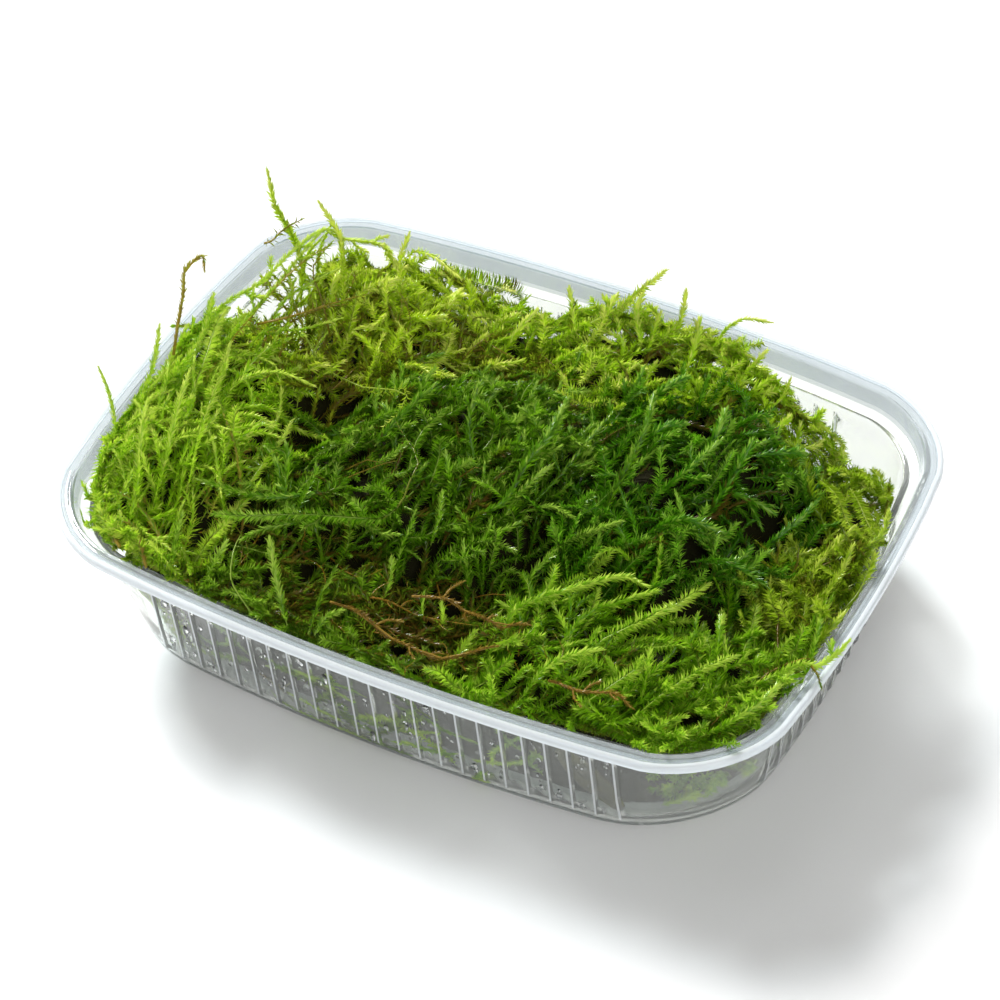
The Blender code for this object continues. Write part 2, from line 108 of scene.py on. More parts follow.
def tub_ring(inset, z, radius, ribbed):
    """One level of the tub, in metres, as a closed ring that starts at the middle of the +X end."""
    half_x = HALF_LENGTH / MM - inset
    half_y = HALF_WIDTH / MM - inset
    corner_x, corner_y = half_x - radius, half_y - radius
    quarter = []
    for y, crest in rib_stations(END_RIBS):
        turn = math.asin(min(max((y - corner_y) / radius, 0), 1))
        quarter.append((corner_x + radius * math.cos(turn), y, turn, crest))
    first = quarter[-1][2]
    side = []
    for x, crest in rib_stations(SIDE_RIBS):
        turn = math.acos(min(max((x - corner_x) / radius, 0), 1))
        side.append((x, corner_y + radius * math.sin(turn), turn, crest))
    last = side[-1][2]
    for step in range(1, CORNER_STEPS):
        turn = first + (last - first) * step / CORNER_STEPS
        quarter.append((corner_x + radius * math.cos(turn), corner_y + radius * math.sin(turn), turn, 0))
    quarter += reversed(side)
    raised = []
    for x, y, turn, crest in quarter:
        out = RIB_DEPTH * crest * ribbed
        bow_x = END_BOW / MM * (1 - min(abs(y) / half_y, 1) ** 2)
        bow_y = SIDE_BOW / MM * (1 - min(abs(x) / half_x, 1) ** 2)
        raised.append((x + bow_x + out * math.cos(turn), y + bow_y + out * math.sin(turn)))
    ring = raised + [(-x, y) for x, y in reversed(raised)]
    ring += [(-x, -y) for x, y in raised] + [(x, -y) for x, y in reversed(raised)]
    return [(x * MM, y * MM, z * MM) for x, y in ring]


def tub_section():
    """The levels of the tub: inset, height, corner radius and share of the ribs' depth."""
    top = RIM_HEIGHT / MM
    low, under = wall_inset(FOOT_HEIGHT), wall_inset(LEDGE_HEIGHT - WALL)
    foot = ((2.6, 0), (1.4, 0.08), (0.6, 0.4), (0.15, 0.95))
    wall = ((FOOT_HEIGHT, 0), (2.0, 0), (2.7, 1), (7, 1), (12, 1), (16.4, 1), (17.2, 0), (17.7, 0))
    rim = (
        # Out along the step, up the lip, over the two beads, and down the collar inside
        (under - 0.05, 18.0), (under - 0.3, 18.12), (2.75, 18.15), (2.45, 18.3), (2.2, 18.9),
        (1.75, 20.8), (1.55, 20.92), (0.85, 20.92), (0.72, 20.8), (0.68, 20.55), (0.5, 20.46),
        (0.2, 20.46), (0.02, 20.56), (0, 20.8), (0, 21.25), (0.1, 21.45), (0.3, top - 0.02),
        (0.5, top), (0.75, top - 0.06), (0.95, top - 0.14), (1.55, top - 0.14),
        (1.75, top - 0.06), (1.95, top), (2.15, top - 0.03), (2.3, top - 0.2), (2.42, 20.9),
        (2.9, 19.1), (3.02, 18.85), (3.25, 18.74), (4.45, 18.7), (4.7, 18.64), (4.86, 18.45),
        (4.92, 18.1),
    )
    floor = ((0.85, 1.7), (1.2, 1.15), (1.8, 0.82), (2.8, 0.7))
    levels = [(low + inset, z, FOOT_RADIUS - inset, 0) for inset, z in foot]
    levels += [(wall_inset(z), z, wall_radius(z), ribbed) for z, ribbed in wall]
    levels += [(inset, z, CORNER_RADIUS - inset, 0) for inset, z in rim]
    levels += [(wall_inset(z) + WALL, z, wall_radius(z) - WALL, 0) for z in (17.4, 12, 7, 2.4)]
    return levels + [(low + inset, z, FOOT_RADIUS - inset, 0) for inset, z in floor]


section = tub_section()
rings = [tub_ring(*level) for level in section]
quarter_crests = [crest for _, crest in rib_stations(END_RIBS)] + [0] * (CORNER_STEPS - 1)
quarter_crests += [crest for _, crest in reversed(rib_stations(SIDE_RIBS))]
crests = (quarter_crests + quarter_crests[::-1]) * 2
# The steps that make the outer edge of the flange
EDGE_HEIGHT, EDGE_WIDTH = 20.4, 0.8
EDGE_STEPS = [
    step for step, (level, above) in enumerate(zip(section, section[1:]))
    if min(level[1], above[1]) > EDGE_HEIGHT and max(level[0], above[0]) < EDGE_WIDTH
]
ring_size = len(rings[0])
tub_faces = []
for low in range(0, ring_size * (len(rings) - 1), ring_size):
    for here in range(ring_size):
        after = (here + 1) % ring_size
        tub_faces.append((low + here, low + after, low + ring_size + after, low + ring_size + here))
tub_faces.append(tuple(reversed(range(ring_size))))
tub_faces.append(tuple(range(ring_size * (len(rings) - 1), ring_size * len(rings))))


def in_scene(name, data):
    """An object for a mesh, lamp or camera, linked to the scene."""
    made = bpy.data.objects.new(name, data)
    bpy.context.scene.collection.objects.link(made)
    return made


tub_mesh = bpy.data.meshes.new("tub_wall")
tub_mesh.from_pydata([point for ring in rings for point in ring], [], tub_faces)
tub_mesh.shade_smooth()
SHARP_EDGE = math.radians(38)
tub_mesh.set_sharp_from_angle(angle=SHARP_EDGE)
tub = in_scene("tub_wall", tub_mesh)


def new_material(name):
    """An empty material with its output, and its tree."""
    made = bpy.data.materials.new(name)
    made.use_nodes = True
    made.node_tree.nodes.clear()
    output = made.node_tree.nodes.new("ShaderNodeOutputMaterial")
    return made, made.node_tree, output


def new_node(tree, kind, **values):
    """A shader node with its inputs set or linked by name, with spaces written as underscores."""
    node = tree.nodes.new("ShaderNode" + kind)
    for key, value in values.items():
        socket = node.inputs[key.replace("_", " ")]
        if isinstance(value, bpy.types.NodeSocket):
            tree.links.new(value, socket)
        else:
            socket.default_value = value
    return node


def noise_at(tree, vector, scale, detail=2.0, roughness=0.5):
    """A noise texture read at a vector."""
    grain = new_node(tree, "TexNoise", Vector=vector, Scale=scale, Detail=detail, Roughness=roughness)
    return grain.outputs["Fac"]


def spread_to(tree, value, low, high, new_low, new_high):
    """Maps a value from one range to another."""
    spread = new_node(
        tree, "MapRange", Value=value, From_Min=low, From_Max=high, To_Min=new_low, To_Max=new_high,
    )
    return spread.outputs["Result"]


def blend_colours(tree, factor, one, other):
    """A mix of two colours, where each may be a socket or a fixed colour."""
    node = tree.nodes.new("ShaderNodeMix")
    node.data_type = "RGBA"
    for socket, value in ((node.inputs["A"], one), (node.inputs["B"], other)):
        if isinstance(value, tuple):
            socket.default_value = value
        else:
            tree.links.new(value, socket)
    tree.links.new(factor, node.inputs["Factor"])
    return node.outputs["Result"]


def bumped(tree, height, strength, distance):
    """A normal that follows small dents, with their depth in metres."""
    return new_node(tree, "Bump", Height=height, Strength=strength, Distance=distance).outputs["Normal"]


def surface(tree, output, shader, share=None, other=None):
    """Gives the material a shader, or a mix of it with a share of another."""
    shown = shader.outputs["BSDF"]
    if other is not None:
        both = new_node(tree, "MixShader", Fac=share)
        tree.links.new(shown, both.inputs[1])
        tree.links.new(other.outputs["BSDF"], both.inputs[2])
        shown = both.outputs["Shader"]
    tree.links.new(shown, output.inputs["Surface"])


def plastic_material(name, through, thin, thick, shadow):
    """Milky polypropylene: through is how much light it passes, and thin and thick are its tints."""
    made, tree, output = new_material(name)
    place = new_node(tree, "TexCoord").outputs["Object"]
    haze = noise_at(tree, place, 90, 4.0, 0.6)
    skin = new_node(
        tree, "BsdfPrincipled", IOR=1.49, Transmission_Weight=through,
        Base_Color=blend_colours(tree, haze, (*thin, 1), (*thick, 1)),
        Roughness=spread_to(tree, haze, 0.3, 0.7, 0.02, 0.09),
        Normal=bumped(tree, noise_at(tree, place, 420), 0.10, 0.3 * MM),
    )
    # Light from the lamps passes straight through
    clear = new_node(tree, "BsdfTransparent", Color=(*shadow, 1))
    lamp_ray = new_node(tree, "LightPath").outputs["Is Shadow Ray"]
    surface(tree, output, skin, lamp_ray, clear)
    return made


for plastic in (
    ("clear_polypropylene", 0.91, (0.92, 0.95, 0.92), (0.97, 0.99, 0.96), (0.92, 0.94, 0.94)),
    ("thick_polypropylene", 0.30, (0.80, 0.85, 0.88), (0.88, 0.91, 0.93), (0.7, 0.74, 0.76)),
    # A darker, greyer copy of the clear plastic for the flange: painted shade
    ("shaded_rim_polypropylene", 0.72, (0.60, 0.66, 0.69), (0.70, 0.75, 0.77), (0.80, 0.83, 0.84)),
):
    tub_mesh.materials.append(plastic_material(*plastic))
# The plastic looks milkier where it is thick, on the crests of the ribs and the rim's edge. The rest
# of the flange takes a darker, greyer copy of the clear plastic: painted shade on its top
THICK, RIM = 1, 2
RIM_FOOT = 18.8
for step, (level, above) in enumerate(zip(section, section[1:])):
    for here in range(ring_size):
        on_crest = level[3] and above[3] and crests[here] and crests[(here + 1) % ring_size]
        if on_crest or step in EDGE_STEPS:
            tub_mesh.polygons[step * ring_size + here].material_index = THICK
        elif min(level[1], above[1]) > RIM_FOOT:
            tub_mesh.polygons[step * ring_size + here].material_index = RIM
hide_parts("tub")
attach(tub, "root")

# Heart of the heap
# Old, dead moss and humus packed dark and wet under the fresh shoots, its near-black colour partly its
# own and partly painted shade for the deep gaps. It fills the heap to a few millimetres under its
# surface and lies loose on the tub's floor.
TUFTS = (
    "back_left_tuft", "left_tuft", "middle_tuft", "right_end_tuft", "right_tuft", "back_tuft",
    "front_tuft", "brown_thatch",
)
GRID = 1.0 * MM
GRID_X = np.arange(-60, 61) * GRID
GRID_Y = np.arange(-44, 45) * GRID
corners, triangles, face_owner = [], [], []
for number, tuft in enumerate(TUFTS):
    cad_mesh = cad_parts[tuft].data
    first = len(corners)
    corners += [vert.co.copy() for vert in cad_mesh.vertices]
    triangles += [[first + corner for corner in face.vertices] for face in cad_mesh.polygons]
    face_owner += [number] * len(cad_mesh.polygons)
heap = BVHTree.FromPolygons(corners, triangles)
ABOVE_HEAP = 0.06
DOWN = Vector((0, 0, -1))
THINNEST = 2 * MM
solid_top = np.zeros((len(GRID_X), len(GRID_Y)))
owner = np.full(solid_top.shape, -1)
for row, x in enumerate(GRID_X):
    for column, y in enumerate(GRID_Y):
        spot, _, face, _ = heap.ray_cast(Vector((x, y, ABOVE_HEAP)), DOWN)
        if spot is not None and spot.z > THINNEST:
            solid_top[row, column] = spot.z
            owner[row, column] = face_owner[face]


def windows(field, cells, blank):
    """For every place of a field, the values of all places within some cells of it."""
    padded = np.pad(field, cells, constant_values=blank)
    rows, columns = field.shape
    steps = range(2 * cells + 1)
    return np.stack([padded[i:i + rows, j:j + columns] for i in steps for j in steps])


def blurred(field):
    """The field averaged over 3 by 3 places, reading only the places that hold a value."""
    stack = windows(field, 1, np.nan)
    held = ~np.isnan(stack)
    return np.where(held.any(0), np.where(held, stack, 0).sum(0) / np.maximum(held.sum(0), 1), np.nan)


# The round shoots of the solids are taken off first: what doesn't reach this many cells to each
# side of its middle goes. The top is smoothed, and carried on past the heap
SHOOT_CELLS = 3
SMOOTHINGS = 3
LOW_MOSS = 4 * MM
ground = windows(windows(solid_top, SHOOT_CELLS, 0).min(0), SHOOT_CELLS, 0).max(0)
inside_heap = ground > LOW_MOSS
ground[~inside_heap] = np.nan
for _ in range(SMOOTHINGS):
    ground = np.where(inside_heap, blurred(ground), np.nan)
filled = ground.copy()
while np.isnan(filled).any():
    filled = np.where(np.isnan(filled), blurred(filled), filled)

# The handfuls are uneven: they sink a little, bulge and gape, and have deep gaps in places
SETTLE = 1.0 * MM
HOLLOWS = (
    # Place and radius of a gap in mm, and how much lower the moss lies there
    (-42.5, 17, 6, 18), (-46, 24, 5, 14), (-36, 10, 5, 9), (-26, 26, 8, 4.5), (-37, 32, 7, 6),
    (-25, 33, 6, 3.5), (-29, 7, 5, 4), (-22, 3, 5, 3), (-26, -6, 4.5, 4.5), (-7, 21, 4, 2.5),
    (36, 9, 5, 5), (32, 1, 4, 4), (9, -13, 4, 3), (26, -19, 4, 3), (-2, -17, 5, 3), (5, -27, 5, 3.5),
    (20, 17, 4, 2.5), (-36, -26, 6, 3), (34, -11, 4, 3), (-13, 33, 6, 3), (-48, -27, 4, 4),
    (-13, 14, 4, 3), (31, 31, 6, 3.5),
)
SWELLS = (
    # Place and radius in mm of a fuller handful, and how much higher the moss lies there
    (4, 34, 7, 2.5), (16, 33, 6, 2.5), (47, 0, 6, 1.5), (49, -7, 5, 3), (49, 9, 4, 2.5),
)
mesh_x, mesh_y = np.meshgrid(GRID_X, GRID_Y, indexing="ij")


def rough(scale, level):
    """Even noise over the grid, at a number of lumps per metre."""
    return np.array([[noise.noise(Vector((x, y, level)) * scale) for y in GRID_Y] for x in GRID_X])


BULGE, DIMPLE = 1.5, 0.7
bulges = BULGE * rough(120, 0) + DIMPLE * rough(280, 0.1)
filled = filled - SETTLE + bulges * MM
gap_depth = np.zeros(filled.shape)
for x, y, radius, drop in HOLLOWS + tuple((x, y, radius, -rise) for x, y, radius, rise in SWELLS):
    near = np.exp(-((mesh_x - x * MM) ** 2 + (mesh_y - y * MM) ** 2) / (radius * MM) ** 2)
    gap_depth += near * drop * MM
filled = np.maximum(filled - gap_depth, LOW_MOSS)

# The places where each tuft's shoots grow reach a few cells past its solid
EDGE_CELLS = 4
reach = owner.copy()
for _ in range(EDGE_CELLS):
    reach = np.where(reach < 0, windows(reach, 1, -1).max(0), reach)


def ground_at(x, y):
    """The height of the heap, in metres, at places given in metres."""
    row = np.clip((x - GRID_X[0]) / GRID, 0, len(GRID_X) - 1.001)
    column = np.clip((y - GRID_Y[0]) / GRID, 0, len(GRID_Y) - 1.001)
    i, j = row.astype(int), column.astype(int)
    u, v = row - i, column - j
    low = filled[i, j] * (1 - u) + filled[i + 1, j] * u
    high = filled[i, j + 1] * (1 - u) + filled[i + 1, j + 1] * u
    return low * (1 - v) + high * v


INSIDE = (
    # Height in mm, and how far the tub's inside lies in from the outline there
    (0.7, 8.4), (1.1, 7.3), (1.8, 6.9), (18.4, 5.0), (18.7, 4.8), (18.95, 3.0), (21.4, 2.4),
)
# Over the rim the moss may stand straight up, or lean out over the flange
UNDER_RIM_LINE = INSIDE + ((24, 2.2), (28, -0.6))
FREE_OVER_RIM = INSIDE + ((21.7, 2.2), (22.4, -3.0))
CORNER_HEIGHTS = (1.8, 18.4, 18.95)
CORNER_RADII = (FOOT_RADIUS - WALL, CORNER_RADIUS - LEDGE_INSET, CORNER_RADIUS - 3)


def push_inside(points, margin, limits=UNDER_RIM_LINE):
    """Moves points that lie past the tub's inside, less a margin, straight back in."""
    x, y, z = points[..., 0] / MM, points[..., 1] / MM, points[..., 2] / MM
    inset = np.interp(z, *zip(*limits))
    radius = np.interp(z, CORNER_HEIGHTS, CORNER_RADII)
    half_x, half_y = HALF_LENGTH / MM - inset, HALF_WIDTH / MM - inset
    bow_x = END_BOW / MM * (1 - np.minimum(np.abs(y) / half_y, 1) ** 2)
    bow_y = SIDE_BOW / MM * (1 - np.minimum(np.abs(x) / half_x, 1) ** 2)
    flat_x = np.abs(x) * half_x / (half_x + bow_x)
    flat_y = np.abs(y) * half_y / (half_y + bow_y)
    past_x, past_y = flat_x - half_x + radius, flat_y - half_y + radius
    in_corner = (past_x > 0) & (past_y > 0)
    off_corner = np.maximum(np.hypot(np.maximum(past_x, 0), np.maximum(past_y, 0)), 1e-6)
    far = np.where(in_corner, off_corner, np.maximum(past_x, past_y)) - radius + margin / MM
    back = np.maximum(far, 0)
    along_x = np.where(in_corner, past_x / off_corner, past_x >= past_y)
    along_y = np.where(in_corner, past_y / off_corner, past_x < past_y)
    moved = points.copy()
    moved[..., 0] -= np.sign(x) * along_x * back * MM
    moved[..., 1] -= np.sign(y) * along_y * back * MM
    moved[..., 2] = np.maximum(points[..., 2], (WALL + 0.15) * MM + 0.3 * margin)
    return moved


HEART_DEPTH = 2.6 * MM
HEART_LUMPS = 1.2 * MM
HEART_LOWEST = 3 * MM
HEART_FOOT = 1.1 * MM
HEART_FROM_WALL = 2.2 * MM
heart_height = np.maximum(filled - HEART_DEPTH + rough(260, 0) * HEART_LUMPS, HEART_LOWEST)
# The heart ends two cells inside the heap
held = inside_heap.copy()
for _ in range(2):
    beside_x = held[2:, 1:-1] & held[:-2, 1:-1]
    beside_y = held[1:-1, 2:] & held[1:-1, :-2]
    held[1:-1, 1:-1] &= beside_x & beside_y
cells = held[:-1, :-1] & held[1:, :-1] & held[:-1, 1:] & held[1:, 1:]
heart_bm = bmesh.new()
top_of, foot_of = {}, {}


def built(name, made):
    """An object in the scene from newly built faces, turned outward and shaded smooth."""
    bmesh.ops.recalc_face_normals(made, faces=made.faces)
    mesh = bpy.data.meshes.new(name)
    made.to_mesh(mesh)
    made.free()
    mesh.shade_smooth()
    return in_scene(name, mesh)


def heart_vert(table, row, column, z):
    """The heart's point over a grid place, made once."""
    if (row, column) not in table:
        flat = np.array([[GRID_X[row], GRID_Y[column], z]])
        table[row, column] = heart_bm.verts.new(push_inside(flat, HEART_FROM_WALL)[0])
    return table[row, column]


for row, column in np.argwhere(cells):
    square = ((row, column), (row + 1, column), (row + 1, column + 1), (row, column + 1))
    heart_bm.faces.new([heart_vert(top_of, i, j, heart_height[i, j]) for i, j in square])
    heart_bm.faces.new([heart_vert(foot_of, i, j, HEART_FOOT) for i, j in reversed(square)])
    for (i, j), (m, n) in zip(square, square[1:] + square[:1]):
        # The neighbour across this edge of the cell, which has no cell where the heart ends
        next_row = row + (i == m and i > row) - (i == m and i == row)
        next_column = column + (j == n and j > column) - (j == n and j == column)
        if not cells[next_row, next_column]:
            lower = [heart_vert(foot_of, *place, HEART_FOOT) for place in ((i, j), (m, n))]
            heart_bm.faces.new((top_of[m, n], top_of[i, j], *lower))
heart = built("old_moss_heart", heart_bm)
humus_and_shade, tree, output = new_material("wet_humus_and_painted_shade")
place = new_node(tree, "TexCoord").outputs["Object"]
crumb = noise_at(tree, place, 900, 5.0, 0.65)
patch = noise_at(tree, place, 130)
# Near black: partly the old moss's own colour, partly painted shade for the gaps between the shoots
damp = new_node(
    tree, "BsdfPrincipled", Specular_IOR_Level=0.15,
    Base_Color=blend_colours(tree, patch, (0.004, 0.006, 0.001, 1), (0.030, 0.026, 0.005, 1)),
    Roughness=spread_to(tree, crumb, 0.35, 0.65, 0.6, 0.9),
    Normal=bumped(tree, crumb, 0.9, 0.8 * MM),
)
surface(tree, output, damp)
heart.data.materials.append(humus_and_shade)
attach(heart, "root")

# Left tuft
# Bright yellow-green shoots combed along the left end, some arching high over the rim. Each
# shoot is a thin stem set all round with keeled pointed leaves, held only by the tangle.

# Kinds of shoot: the leaf's length, width and spacing in mm, its opening in degrees, whether the
# leaves stand in two rows, the stem's radius in mm, and how far the leaf curls in or out
Style = collections.namedtuple("Style", "leaf width spacing opening flat stem curl")
PLUMP = Style(1.45, 0.38, 0.060, 45, False, 0.11, 0.18)
BRUSH = Style(1.20, 0.31, 0.057, 46, False, 0.09, 0.14)
SLIM = Style(0.98, 0.26, 0.058, 36, False, 0.08, 0.10)
COMB = Style(1.35, 0.27, 0.062, 56, True, 0.10, -0.06)
FLUFF = Style(1.30, 0.22, 0.062, 58, False, 0.08, -0.10)
HAIR = Style(0.85, 0.16, 0.220, 60, False, 0.12, -0.15)
BARE = Style(0.7, 0.20, 2.400, 40, False, 0.21, 0.0)
SCALY = Style(0.85, 0.22, 0.080, 34, False, 0.20, 0.05)
UP = np.array((0.0, 0.0, 1.0))
GOLDEN_TURN = math.radians(137.5)
STEM_SIDES = 3

# A leaf's own points: share of its length, share of its width, and its cup as share of length
KEELED = (
    np.array(((0, 0, 0), (0.36, -0.5, 0.10), (0.44, 0, -0.03), (0.36, 0.5, 0.10), (1, 0, 0))),
    np.array(((0, 1, 2), (0, 2, 3), (1, 4, 2), (2, 4, 3))),
)
FOLDED = (
    np.array(((0, 0, 0), (0.36, -0.5, 0.12), (1, 0, 0), (0.36, 0.5, 0.12))),
    np.array(((0, 1, 2), (0, 2, 3))),
)
SLIVER = (np.array(((0.1, -0.5, 0), (1, 0, 0), (0.1, 0.5, 0))), np.array(((0, 1, 2),)))
LEAF_SPAN = (0.02, 0.68)
STEM_SPAN = (0.76, 0.98)
LEAF_STRIPE = 0.012


def unit(vectors):
    """The same directions at length one."""
    return vectors / np.maximum(np.linalg.norm(vectors, axis=-1, keepdims=True), 1e-12)


def flowing(corners, count=29):
    """Points at even steps of a smooth curve through the corners."""
    spots = np.asarray(corners, float)
    spots = np.vstack([2 * spots[0] - spots[1], spots, 2 * spots[-1] - spots[-2]])
    place = np.linspace(0, len(spots) - 3, count)
    span = np.minimum(place.astype(int), len(spots) - 4)
    t = (place - span)[:, None]
    before, start, end, after = (spots[span + step] for step in range(4))
    return 0.5 * (
        2 * start + (end - before) * t + (2 * before - 5 * start + 4 * end - after) * t ** 2
        + (3 * start - before - 3 * end + after) * t ** 3
    )


class Clump:
    """The points, triangles and pattern places of one tuft's leaves and stems."""

    def __init__(self, seed):
        self.draw = np.random.default_rng(seed)
        self.points, self.faces, self.places, self.size = [], [], [], 0

    def add(self, points, faces, places):
        """Takes up one shoot's leaves or stem."""
        self.points.append(points)
        self.faces.append(faces + self.size)
        self.places.append(places)
        self.size += len(points)


def add_stem(clump, path, radius, tone):
    """A thin tapered stem along a path."""
    forward = unit(np.gradient(path, axis=0))
    side = unit(np.cross(forward, UP + 1e-3))
    upward = np.cross(side, forward)
    along = np.linspace(0, 1, len(path))
    width = radius * MM * (1 - 0.65 * along ** 2)
    turns = np.arange(STEM_SIDES) / STEM_SIDES * 2 * math.pi
    rings = path[:, None] + width[:, None, None] * (
        side[:, None] * np.cos(turns)[:, None] + upward[:, None] * np.sin(turns)[:, None]
    )
    faces = []
    for step in range(len(path) - 1):
        for here in range(STEM_SIDES):
            a, b = step * STEM_SIDES + here, step * STEM_SIDES + (here + 1) % STEM_SIDES
            faces += [(a, b, a + STEM_SIDES), (b, b + STEM_SIDES, a + STEM_SIDES)]
    last = (len(path) - 1) * STEM_SIDES
    faces += [(0, 2, 1), (last, last + 1, last + 2)]
    pattern_v = np.repeat(STEM_SPAN[0] + (STEM_SPAN[1] - STEM_SPAN[0]) * along, STEM_SIDES)
    pattern_u = tone + np.tile(np.abs(np.linspace(-1, 1, STEM_SIDES)) * LEAF_STRIPE, len(path))
    clump.add(rings.reshape(-1, 3), np.array(faces), np.stack([pattern_u, pattern_v], 1))


def add_shoot(clump, corners, style, tone, leaf_kind=KEELED, bare=0.04, size=1.0):
    """One shoot along a path: its stem, and leaves that open toward the tip."""
    draw = clump.draw
    path = flowing(corners)
    lean = unit(UP + draw.normal(0, 0.35, 3))
    add_stem(clump, path[::4], style.stem * size, tone)
    run = np.concatenate([[0], np.cumsum(np.linalg.norm(np.diff(path, axis=0), axis=1))])
    count = max(int(run[-1] * (1 - bare) / (style.spacing * MM)), 2)
    along = np.linspace(bare, 1, count)
    forward_all = unit(np.gradient(path, axis=0))
    at = along * run[-1]
    spot = np.stack([np.interp(at, run, path[:, axis]) for axis in range(3)], 1)
    forward = unit(np.stack([np.interp(at, run, forward_all[:, axis]) for axis in range(3)], 1))
    side = unit(np.cross(forward, lean))
    upward = np.cross(side, forward)
    order = np.arange(count)
    if style.flat:
        around = order % 2 * math.pi + 0.35 + draw.normal(0, 0.28, count)
    else:
        around = order * GOLDEN_TURN + draw.normal(0, 0.3, count)
    outward = side * np.cos(around)[:, None] + upward * np.sin(around)[:, None]
    # The leaves close up over the tip
    opening = np.radians(style.opening * (1 - 0.62 * along ** 8) + draw.normal(0, 8, count))[:, None]
    toward = forward * np.cos(opening) + outward * np.sin(opening)
    inward = forward * np.sin(opening) - outward * np.cos(opening)
    across = np.cross(toward, inward)
    grown = np.interp(along, (0, 0.12, 0.4, 0.88, 1), (0.55, 0.85, 1.0, 0.98, 0.72))
    grown = grown * draw.uniform(0.8, 1.2, count)
    length = style.leaf * size * MM * grown
    width = style.width * size * MM * np.sqrt(grown) * draw.uniform(0.85, 1.15, count)
    leaf, leaf_faces = leaf_kind
    bend = style.curl * leaf[:, 0] ** 2 + leaf[:, 2]
    curl = bend * length[:, None] * draw.uniform(0.4, 1.6, count)[:, None]
    points = (
        spot[:, None]
        + toward[:, None] * (leaf[:, 0] * length[:, None])[..., None]
        + across[:, None] * (leaf[:, 1] * width[:, None])[..., None]
        + inward[:, None] * curl[..., None]
    )
    faces = (leaf_faces[None] + (order * len(leaf))[:, None, None]).reshape(-1, 3)
    # A shoot is fresher toward its tip; its paler tip and darker foot are also painted highlight
    # and painted shade
    shade = tone + 0.40 * (along - 0.5) + draw.normal(0, 0.15, count)
    pattern_u = np.clip(shade, 0.03, 0.97)[:, None] + leaf[:, 1] * LEAF_STRIPE
    up_leaf = LEAF_SPAN[0] + (LEAF_SPAN[1] - LEAF_SPAN[0]) * leaf[:, 0]
    pattern_v = np.broadcast_to(up_leaf, pattern_u.shape)
    clump.add(points.reshape(-1, 3), faces, np.stack([pattern_u, pattern_v], -1).reshape(-1, 2))
    return path


def add_branches(clump, path, style, tone, count, longest, leaf_kind=KEELED):
    """Side shoots that leave a shoot alternately to both sides and turn toward its tip."""
    draw = clump.draw
    forward = unit(np.gradient(path, axis=0))
    hand = draw.choice((-1, 1))
    for number in range(count):
        t = 0.2 + 0.6 * (number + draw.uniform(0.1, 0.9)) / count
        here = int(t * (len(path) - 1))
        side = unit(np.cross(forward[here], UP)) * hand
        hand = -hand
        length = longest * MM * draw.uniform(0.6, 1.1) * (1.15 - t)
        lift = UP * draw.uniform(-0.1, 0.5)
        start = path[here]
        first = unit(forward[here] * 0.6 + side + lift)
        later = unit(forward[here] * 1.3 + side + lift)
        middle = start + first * length * 0.5
        add_shoot(clump, (start, middle, middle + later * length * 0.5), style, tone, leaf_kind, 0.0, 0.85)


GAP_THINNING = 2 * MM
TURN_TRIES = 6
LEAVES_TUB = 1.0 * MM


def lying_paths(clump, tuft, count, comb, spread, length, depth, rise, steps=7):
    """Paths of shoots that lie on a tuft: they leave it from below and lift their tips."""
    draw = clump.draw
    mine = np.argwhere(reach == TUFTS.index(tuft))
    # Fewer shoots grow over the gaps
    gaping = np.maximum(gap_depth[mine[:, 0], mine[:, 1]], 0) / GAP_THINNING
    share = 1 / (1 + gaping ** 2)
    picked = mine[draw.choice(len(mine), count, p=share / share.sum())]
    middle = np.stack([GRID_X[picked[:, 0]], GRID_Y[picked[:, 1]]], 1)
    middle = middle + draw.uniform(-0.5, 0.5, (count, 2)) * GRID
    drift = np.array([noise.noise(Vector((a, b, 0.02)) * 70) for a, b in middle])
    aim = comb + spread * 0.9 * drift + draw.normal(0, spread * 0.5, count)
    bend = np.cumsum(draw.normal(draw.normal(0, 11, (count, 1)), 10, (count, steps - 1)), 1)
    step = draw.uniform(*length, count)[:, None] * MM / (steps - 1)
    for _ in range(TURN_TRIES):
        heading = np.radians(aim[:, None] + bend)
        moves = np.stack([step * np.cos(heading), step * np.sin(heading)], -1)
        flat = np.concatenate([np.zeros((count, 1, 2)), np.cumsum(moves, 1)], 1)
        flat += middle[:, None] - flat[:, steps // 2][:, None]
        height = ground_at(flat[..., 0], flat[..., 1])
        # Shoots keep further off the collar than off the wall
        margin = np.interp(height / MM, (18.5, 20), (1.0, 2.6)) * MM
        pressed = push_inside(np.concatenate([flat, height[..., None]], -1), margin)
        off = np.linalg.norm(pressed[..., :2] - flat, axis=-1).max(1)
        # A shoot that would leave the tub is turned another way
        aim = np.where(off > LEAVES_TUB, draw.uniform(0, 360, count), aim)
    t = np.linspace(0, 1, steps)
    lift = draw.uniform(*rise, count)[:, None] * MM
    sink = draw.uniform(*depth, count)[:, None] * MM
    z = ground_at(pressed[..., 0], pressed[..., 1]) - sink * (1 - t) ** 1.2 + lift * t ** 1.4
    z += draw.normal(0, 0.15, z.shape) * MM
    return np.concatenate([pressed[..., :2], z[..., None]], -1)


LEAF_FROM_WALL = 0.25 * MM


